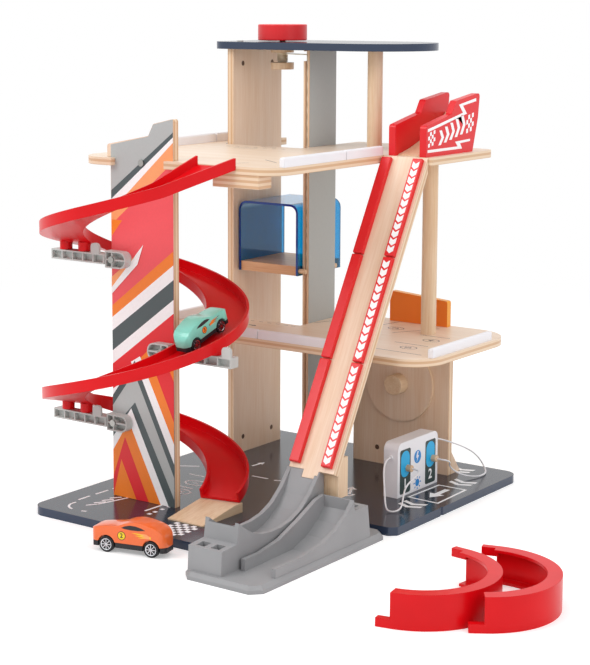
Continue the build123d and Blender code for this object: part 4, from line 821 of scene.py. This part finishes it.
white_cord, cord_tree, cord_shader = finish_start("white_elastic_cord", IOR=1.5)
cord_source = add(cord_tree, "ShaderNodeTexCoord")
fuzz = add(cord_tree, "ShaderNodeTexNoise", {"Vector": cord_source.outputs["Object"], "Scale": 1.0 / (0.7 * MM)})
cord_tone = add(cord_tree, "ShaderNodeMix", {0: fuzz.outputs["Fac"], A_COLOUR: srgb("F6F5F8"),
                                             B_COLOUR: srgb("E2E0E4")}, data_type="RGBA")
cord_tree.links.new(cord_tone.outputs[MIXED], cord_shader.inputs["Base Color"])
cord_shader.inputs["Roughness"].default_value = 0.6
relief(cord_tree, cord_shader, fuzz.outputs["Fac"], 0.05, 0.2)


def smooth_cord(name, points, diameter, material):
    """One open NURBS spline with a round section."""
    curve = bpy.data.curves.new(name, "CURVE")
    curve.dimensions = "3D"
    curve.bevel_depth = diameter * MM / 2
    curve.bevel_resolution = 5
    curve.resolution_u = 10
    curve.use_fill_caps = True
    spline = curve.splines.new("NURBS")
    spline.points.add(len(points) - 1)
    for point, place in zip(spline.points, points):
        point.co = (*at(*place), 1.0)
    spline.order_u = 3
    spline.use_endpoint_u = True
    piece = bpy.data.objects.new(name, curve)
    bpy.context.collection.objects.link(piece)
    curve.materials.append(material)
    return piece


for name, points, body, plug in (("cord_1", CORD_1, "plug_one", "plug_1"), ("cord_2", CORD_2, "plug_two", "plug_2")):
    hose = smooth_cord("hose_" + name[-1], points, CORD_D, white_cord)
    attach(hose, body)
    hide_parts(name)

# %% [markdown]
# The lift's string is wound on the spool under the top plate and runs to the
# groove of the right lift board. It stays one curve: the turns are worked out by a
# loop, and the rest is the straight run, the bend and the drop.

# %% Lift string
SPOOL = (94.0, 372.0)
WIND_R, WIND_Z, WIND_PITCH, WIND_TURNS = 6.4, 518.65, 1.75, 6
LEAVE = math.radians(-109.37)            # where the string leaves the spool
GROOVE = (151.5, 345.0)
STRING_D = 1.3
STEPS_A_TURN = 16
WIND_REACH = WIND_R / math.cos(math.pi / STEPS_A_TURN) ** 0.5    # control points lie a little outside

string_points = []
for i in range(WIND_TURNS * STEPS_A_TURN + 1):
    angle = LEAVE + 2 * math.pi * i / STEPS_A_TURN
    string_points.append((SPOOL[0] + WIND_REACH * math.cos(angle), SPOOL[1] + WIND_REACH * math.sin(angle),
                          WIND_Z + WIND_PITCH * i / STEPS_A_TURN))
last = string_points[-1]
top_z = last[2]
for share in (0.33, 0.66, 0.9, 1.0):
    string_points.append((last[0] + (GROOVE[0] - last[0]) * share, last[1] + (GROOVE[1] - last[1]) * share, top_z))
string_points += [(GROOVE[0], GROOVE[1], z) for z in (top_z - 6, top_z - 40, 400, 320, 259)]

string_twist, string_tree, string_shader = finish_start("twisted_string", IOR=1.5)
string_source = add(string_tree, "ShaderNodeTexCoord")
twist = add(string_tree, "ShaderNodeTexWave", {"Vector": string_source.outputs["Object"],
                                               "Scale": 1.0 / (1.2 * MM) / 20.0, "Distortion": 2.0},
            bands_direction="DIAGONAL")
string_tone = add(string_tree, "ShaderNodeMix", {0: twist.outputs["Fac"], A_COLOUR: srgb("E8E0CE"),
                                                 B_COLOUR: srgb("C8BCA2")}, data_type="RGBA")
string_tree.links.new(string_tone.outputs[MIXED], string_shader.inputs["Base Color"])
string_shader.inputs["Roughness"].default_value = 0.85
relief(string_tree, string_shader, twist.outputs["Fac"], 0.15, 0.2)

string = smooth_cord("lift_string_twisted", string_points, STRING_D, string_twist)
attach(string, "garage")
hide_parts("lift_string")

# %% [markdown]
# The two cars are turned out of one flat-sided block: a high tail, a low roof and a
# long sloping nose, with every edge rounded. The block starts as a grid that is
# bent to the side view and extruded to its width. It is then cut to the outline
# from above, gets its wheel arches cut by cylinders, and is rounded by a bevel.

# %% Car bodies
CAR_W, CAR_BASE = 26.0, 54.0         # width, and the distance between the axles, in mm
WHEEL_R, WHEEL_W = 9.0, 5.0
CAR_FLOOR = 12.0                     # height of the body's underside
TAIL_R, NOSE_R = 6.0, 9.0            # corners seen from above
ARCH_GAP = 1.5                       # room between a wheel and its arch
ROUNDING = 1.3                       # of the body's edges
ROOF_LINE = [(-18.3, 24.4), (-17.6, 26.0), (-14.0, 27.2), (-5.6, 28.6), (4.0, 29.7), (10.5, 30.5), (15.5, 31.7),
             (20.0, 33.6), (25.4, 35.5), (31.0, 36.6), (37.6, 36.9), (47.4, 35.4), (55.9, 33.3), (61.9, 31.0),
             (66.7, 27.0), (69.4, 23.6), (71.2, 18.3), (71.6, 15.5)]      # from the rear axle, up


def car_paint(name, code):
    """Sprayed gloss paint with a clear coat and a slight orange-peel."""
    material, tree, shader = finish_start(name, IOR=1.5, Coat_Weight=0.6, Coat_Roughness=0.06, Roughness=0.35)
    source = add(tree, "ShaderNodeTexCoord")
    peel = add(tree, "ShaderNodeTexNoise", {"Vector": source.outputs["Object"], "Scale": 1.0 / (2.2 * MM)})
    drift(tree, shader, srgb(code), peel.outputs["Fac"], (0.96, 1.04))
    relief(tree, shader, peel.outputs["Fac"], 0.02, 0.5)
    return material


def apply_all(piece):
    """Applies every modifier of a piece in order."""
    select_only(piece)
    for modifier in list(piece.modifiers):
        bpy.ops.object.modifier_apply(modifier=modifier.name)


def carve(piece, cutter, how):
    """Cuts a piece with another one, which is then thrown away."""
    cut = piece.modifiers.new("cut", "BOOLEAN")
    cut.operation = how
    cut.object = cutter
    apply_all(piece)
    bpy.data.objects.remove(cutter)


def close_up():
    """Merges the active mesh's doubled points and turns its faces outwards."""
    bpy.ops.object.mode_set(mode="EDIT")
    bpy.ops.mesh.select_all(action="SELECT")
    bpy.ops.mesh.remove_doubles(threshold=0.00001)
    bpy.ops.mesh.normals_make_consistent(inside=False)
    bpy.ops.object.mode_set(mode="OBJECT")


def plan_block():
    """A tall block with the car's outline from above, rounder at the nose."""
    tail, nose, w = ROOF_LINE[0][0] - CAR_BASE / 2, ROOF_LINE[-1][0] - CAR_BASE / 2, CAR_W / 2
    points = []
    for u, v, r, start in ((nose, -w, NOSE_R, -90), (nose, w, NOSE_R, 0), (tail, w, TAIL_R, 90),
                           (tail, -w, TAIL_R, 180)):
        inward = (-r if u > 0 else r, -r if v > 0 else r)
        points += oval((u + inward[0], v + inward[1]), r, r, 6, start, 90.0)
    block = settle(filled("plan", [points], CAR_W * 4), Matrix.Identity(4))
    close_up()
    return block


def car_block(name, material):
    """The body, nose along +X, at the origin with its wheels on z = 0."""
    bpy.ops.mesh.primitive_grid_add(x_subdivisions=len(ROOF_LINE) - 1, y_subdivisions=1, size=1.0)
    piece = bpy.context.object
    piece.name = name
    columns = sorted({round(v.co.x, 5) for v in piece.data.vertices})
    for v in piece.data.vertices:
        along, height = ROOF_LINE[columns.index(round(v.co.x, 5))]
        top = v.co.y > 0
        v.co = ((along - CAR_BASE / 2) * MM, -CAR_W / 2 * MM, (height if top else CAR_FLOOR) * MM)
    bpy.ops.object.mode_set(mode="EDIT")
    bpy.ops.mesh.select_all(action="SELECT")
    bpy.ops.mesh.extrude_region_move(TRANSFORM_OT_translate={"value": (0, CAR_W * MM, 0)})
    bpy.ops.object.mode_set(mode="OBJECT")
    close_up()
    carve(piece, plan_block(), "INTERSECT")
    for x in (-CAR_BASE / 2, CAR_BASE / 2):
        for side in (-1, 1):
            hub = (x * MM, side * (CAR_W / 2 - WHEEL_W / 2) * MM, WHEEL_R * MM)
            bpy.ops.mesh.primitive_cylinder_add(vertices=40, radius=(WHEEL_R + ARCH_GAP) * MM,
                                                depth=(WHEEL_W + 2) * MM, location=hub,
                                                rotation=(math.pi / 2, 0, 0))
            carve(piece, bpy.context.object, "DIFFERENCE")
    bevel = piece.modifiers.new("round", "BEVEL")
    bevel.width, bevel.segments = ROUNDING * MM, 3
    bevel.limit_method, bevel.angle_limit = "ANGLE", math.radians(40)
    apply_all(piece)
    bpy.ops.object.shade_smooth_by_angle(angle=math.radians(35))
    piece.data.materials.clear()
    piece.data.materials.append(material)
    return piece


# %% [markdown]
# The side prints are thin plates a hair off the body's flat sides: a dark window, a
# round badge with a numeral and a small burst of flames. The left side repeats the
# right one.

# %% Car prints
FACE_BACK = Matrix(((-1, 0, 0), (0, 0, 1), (0, 1, 0))).to_4x4()


WINDOW = [(-8.5, 29.5), (-4.0, 31.8), (2.0, 33.2), (9.0, 33.0), (15.5, 31.6), (20.5, 29.4),
          (12.0, 28.2), (3.0, 28.1), (-4.0, 28.6)]      # a long drop, in mm from the car's middle
FLAME = [(0, 0), (0.3, 2.6), (1, 2.2), (0.45, 0.6), (0.85, -0.4), (0.35, -1.2), (0.7, -2.4), (0, -2.4)]
BADGES = {"orange_car": (-8.2, "2"), "mint_car": (6.0, "3")}     # place along the side, and numeral
BADGE_Z = 20.6


def flame_shape(u, v, length):
    """Three tongues of flame trailing back from a point."""
    return [(u - length * back, v + up) for back, up in FLAME]


def side_prints(name, plan):
    """Prints on both sides of a car at the origin; the plan lists ink, outlines and layer."""
    pieces = []
    for side, facing in ((-1, FACE_FRONT), (1, FACE_BACK)):
        origin = Vector((0, side * (CAR_W / 2) * MM, 0))
        for k, (material, loops, layer) in enumerate(plan):
            turned = [[(u * -side, v) for u, v in loop] for loop in loops]
            pieces.append(print_plate("%s_%d_%d" % (name, side, k), turned, facing, origin, material, layer))
        along, numeral = BADGES[name]
        pieces.append(print_number("%s_number_%d" % (name, side), numeral, 7.0, facing,
                                   origin + Vector((along * MM, 0, BADGE_Z * MM)), black_ink, 3))
    return pieces


def print_plan(name, badge_ink, flames):
    """Window, badge and two flames of a car, as ink, outlines and layer."""
    centre = (BADGES[name][0], BADGE_Z)
    plan = [(black_ink, [WINDOW], 0), (black_ink, [oval(centre, 4.9, 4.9)], 0),
            (badge_ink, [oval(centre, 4.2, 4.2)], 1)]
    return plan + [(flame_ink, [flame_shape(*shape)], layer) for layer, (flame_ink, shape) in enumerate(flames)]


orange_plan = print_plan("orange_car", yellow_ink,
                         [(yellow_ink, (27.0, 23.0, 23.0)), (peach_ink, (26.0, 23.0, 14.0))])
mint_plan = print_plan("mint_car", orange_ink,
                       [(black_ink, (-5.0, 23.2, 24.0)), (orange_ink, (-6.0, 23.2, 18.0))])

# %% [markdown]
# Each wheel is a black tyre with a bright spoked rim. The rim is a shallow dish:
# a disc whose face is inset and pushed in, with a ring of spokes across it.

# %% Wheel rims
RIM_R = 6.5
SPOKES = 8
chrome = plated("chrome_rim", "D8DADF", roughness=0.18)


def rim(name, x, side):
    """A spoked rim on the outer face of one wheel of a car at the origin."""
    face = side * (CAR_W / 2) * MM
    pieces = []
    bpy.ops.mesh.primitive_cylinder_add(vertices=32, radius=RIM_R * MM, depth=0.5 * MM,
                                        location=(x * MM, face + side * 0.2 * MM, WHEEL_R * MM),
                                        rotation=(math.pi / 2, 0, 0))
    dish = bpy.context.object
    bpy.ops.object.transform_apply(location=True, rotation=True, scale=True)
    bpy.ops.object.mode_set(mode="EDIT")
    bpy.ops.mesh.select_mode(type="FACE")
    bpy.ops.mesh.select_all(action="DESELECT")
    bpy.ops.object.mode_set(mode="OBJECT")
    for polygon in dish.data.polygons:
        polygon.select = polygon.normal.y * side > 0.9
    bpy.ops.object.mode_set(mode="EDIT")
    bpy.ops.mesh.inset(thickness=0.9 * MM)
    bpy.ops.transform.translate(value=(0, -side * 0.4 * MM, 0))
    bpy.ops.object.mode_set(mode="OBJECT")
    dish.data.materials.append(chrome)
    dish.data.materials.append(tyre)
    for polygon in dish.data.polygons:
        centre = polygon.center - Vector((x * MM, polygon.center.y, WHEEL_R * MM))
        if polygon.normal.y * side > 0.9 and centre.length < 0.5 * MM:
            polygon.material_index = 1
    pieces.append(dish)
    for i in range(SPOKES):
        angle = 2 * math.pi * i / SPOKES
        reach = RIM_R * 0.46
        bpy.ops.mesh.primitive_cube_add(size=1.0)
        spoke = bpy.context.object
        spoke.scale = (RIM_R * 0.82 * MM, 0.45 * MM, 0.75 * MM)
        spoke.rotation_euler = (0, -angle, 0)
        spoke.location = ((x + reach * math.cos(angle)) * MM, face + side * 0.15 * MM,
                          (WHEEL_R + reach * math.sin(angle)) * MM)
        bpy.ops.object.transform_apply(location=True, rotation=True, scale=True)
        spoke.data.materials.append(chrome)
        pieces.append(spoke)
    select_only(*pieces)
    bpy.ops.object.join()
    dish.name = name
    return dish


# %% [markdown]
# The orange car stands on the floor in front of the board. The mint one comes down
# the spiral, so it is turned to the track and tipped down by its slope.

# %% Cars in their places
TRACK_PITCH = 361.0 * 360.0 / 668.0      # drop of the spiral in one turn, in mm
TRACK_HUB = (96.0, 96.5)
MINT_R, MINT_ANGLE, MINT_RAISE, MINT_SIZE = 88.0, -362.0, 1.4, 0.85
TRACK_TOP_Z, TRACK_TOP_ANGLE, TRACK_FLOOR = 383.0, -40.0, 3.0

ORANGE_AT, ORANGE_TURN = (190.0, -38.0, 0.0), math.radians(13.85)

orange_place = Matrix.Translation(at(*ORANGE_AT)) @ Matrix.Rotation(ORANGE_TURN, 4, "Z")
mint_slope = math.atan(TRACK_PITCH / (2 * math.pi * MINT_R))
mint_turn = math.radians(MINT_ANGLE)
mint_floor = (TRACK_TOP_Z - TRACK_PITCH * (TRACK_TOP_ANGLE - MINT_ANGLE) / 360.0
              + TRACK_FLOOR / math.cos(mint_slope))
mint_place = (Matrix.Translation(at(TRACK_HUB[0] + MINT_R * math.cos(mint_turn),
                                    TRACK_HUB[1] + MINT_R * math.sin(mint_turn), mint_floor + MINT_RAISE))
              @ Matrix.Rotation(mint_turn - math.pi / 2, 4, "Z") @ Matrix.Rotation(mint_slope, 4, "Y")
              @ Matrix.Scale(MINT_SIZE, 4))


def build_car(name, code, plan, matrix):
    """Body, side prints and rims of one car, each riding on its own body."""
    body = settle(car_block(name + "_shape", car_paint(name + "_paint", code)), matrix)
    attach(body, name)
    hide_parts(name + "_body")
    prints = [settle(piece, matrix) for piece in side_prints(name, plan)]
    one_print(name + "_prints", prints, name)
    colour = name.split("_")[0]
    for end, x in (("rear", -CAR_BASE / 2), ("front", CAR_BASE / 2)):
        for side in (-1, 1):
            piece = rim("%s_rim_%s_%s" % (name, end, "left" if side > 0 else "right"), x, side)
            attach(settle(piece, matrix), "%s_%s_wheels" % (colour, end))
    print(name, "faces of the body:", len(body.data.polygons))


build_car("orange_car", "F26A21", orange_plan, orange_place)
build_car("mint_car", "7FD6C4", mint_plan, mint_place)

# %% [markdown]
# A toy like this is photographed on white paper under large soft lamps. The floor
# is pale and keeps the object's shadow, and what the camera and the gloss see
# beyond it is plain white. The lamps only add up to a plain level.

# %% Floor and backdrop
FLOOR_SIZE = 14.0
FLOOR_GLOW = 0.3         # lifts the paper towards white for the camera
FADE_FROM, FADE_TO = 0.55, 1.7       # metres from the middle, where the paper turns plain white
bpy.ops.mesh.primitive_plane_add(size=FLOOR_SIZE, location=(0, 0, 0))
floor = bpy.context.object
floor.name = "floor"
floor_paper, floor_tree, floor_shader = finish_start("white_paper", Roughness=0.9)
floor_shader.inputs["Specular IOR Level"].default_value = 0.1
paper_source = add(floor_tree, "ShaderNodeTexCoord")
fibre = add(floor_tree, "ShaderNodeTexNoise", {"Vector": paper_source.outputs["Object"], "Scale": 2.0})
paper_tone = add(floor_tree, "ShaderNodeMix", {0: fibre.outputs["Fac"], A_COLOUR: srgb("F6F6F6"),
                                               B_COLOUR: srgb("F2F2F2")}, data_type="RGBA")
floor_tree.links.new(paper_tone.outputs[MIXED], floor_shader.inputs["Base Color"])
floor_path = add(floor_tree, "ShaderNodeLightPath")
floor_seen = add(floor_tree, "ShaderNodeMath", {0: floor_path.outputs["Is Camera Ray"],
                                                1: floor_path.outputs["Is Glossy Ray"]}, operation="MAXIMUM")
floor_glow = add(floor_tree, "ShaderNodeMath", {0: floor_seen.outputs[0], 1: FLOOR_GLOW}, operation="MULTIPLY")
floor_tree.links.new(floor_glow.outputs[0], floor_shader.inputs["Emission Strength"])
away = add(floor_tree, "ShaderNodeVectorMath", {0: paper_source.outputs["Object"]}, operation="LENGTH")
fade = add(floor_tree, "ShaderNodeMapRange", {"Value": away.outputs["Value"], "From Min": FADE_FROM,
                                              "From Max": FADE_TO}, interpolation_type="SMOOTHSTEP")
haze = add(floor_tree, "ShaderNodeEmission", {"Color": (1, 1, 1, 1), "Strength": 1.0})
blend = add(floor_tree, "ShaderNodeMixShader", {0: fade.outputs[0], 1: floor_shader.outputs[0],
                                                2: haze.outputs[0]})
floor_tree.links.new(blend.outputs[0], floor_tree.nodes["Material Output"].inputs["Surface"])
floor.data.materials.append(floor_paper)

# %% World
world = bpy.data.worlds.new("studio")
bpy.context.scene.world = world
world.use_nodes = True
sky = world.node_tree
sky.nodes.clear()
path = add(sky, "ShaderNodeLightPath")
direct = add(sky, "ShaderNodeMath", {0: path.outputs["Is Camera Ray"], 1: path.outputs["Is Glossy Ray"]},
             operation="MAXIMUM")
shown = add(sky, "ShaderNodeMath", {0: direct.outputs[0], 1: path.outputs["Is Transmission Ray"]},
            operation="MAXIMUM")
strength = add(sky, "ShaderNodeMapRange", {"Value": shown.outputs[0], "To Min": 0.7, "To Max": 1.0})
glow = add(sky, "ShaderNodeBackground", {"Color": (1, 1, 1, 1), "Strength": strength.outputs[0]})
add(sky, "ShaderNodeOutputWorld", {"Surface": glow.outputs[0]})

# %% Lamps
AIM = Vector((0.0, 0.0, 0.25))


def softbox(name, place, size, power):
    """A square lamp that looks at the middle of the toy."""
    bpy.ops.object.light_add(type="AREA", location=place)
    lamp = bpy.context.object
    lamp.name = name
    lamp.data.size = size
    lamp.data.energy = power
    lamp.rotation_euler = (AIM - Vector(place)).to_track_quat("-Z", "Y").to_euler()


softbox("key_left", (-1.3, -2.1, 2.2), 1.6, 32.0)
softbox("fill_right", (2.6, -0.6, 1.6), 1.6, 16.0)
softbox("top", (0.2, 0.3, 2.8), 1.8, 18.0)

# %% View and size
bpy.context.scene.view_settings.view_transform = "Standard"
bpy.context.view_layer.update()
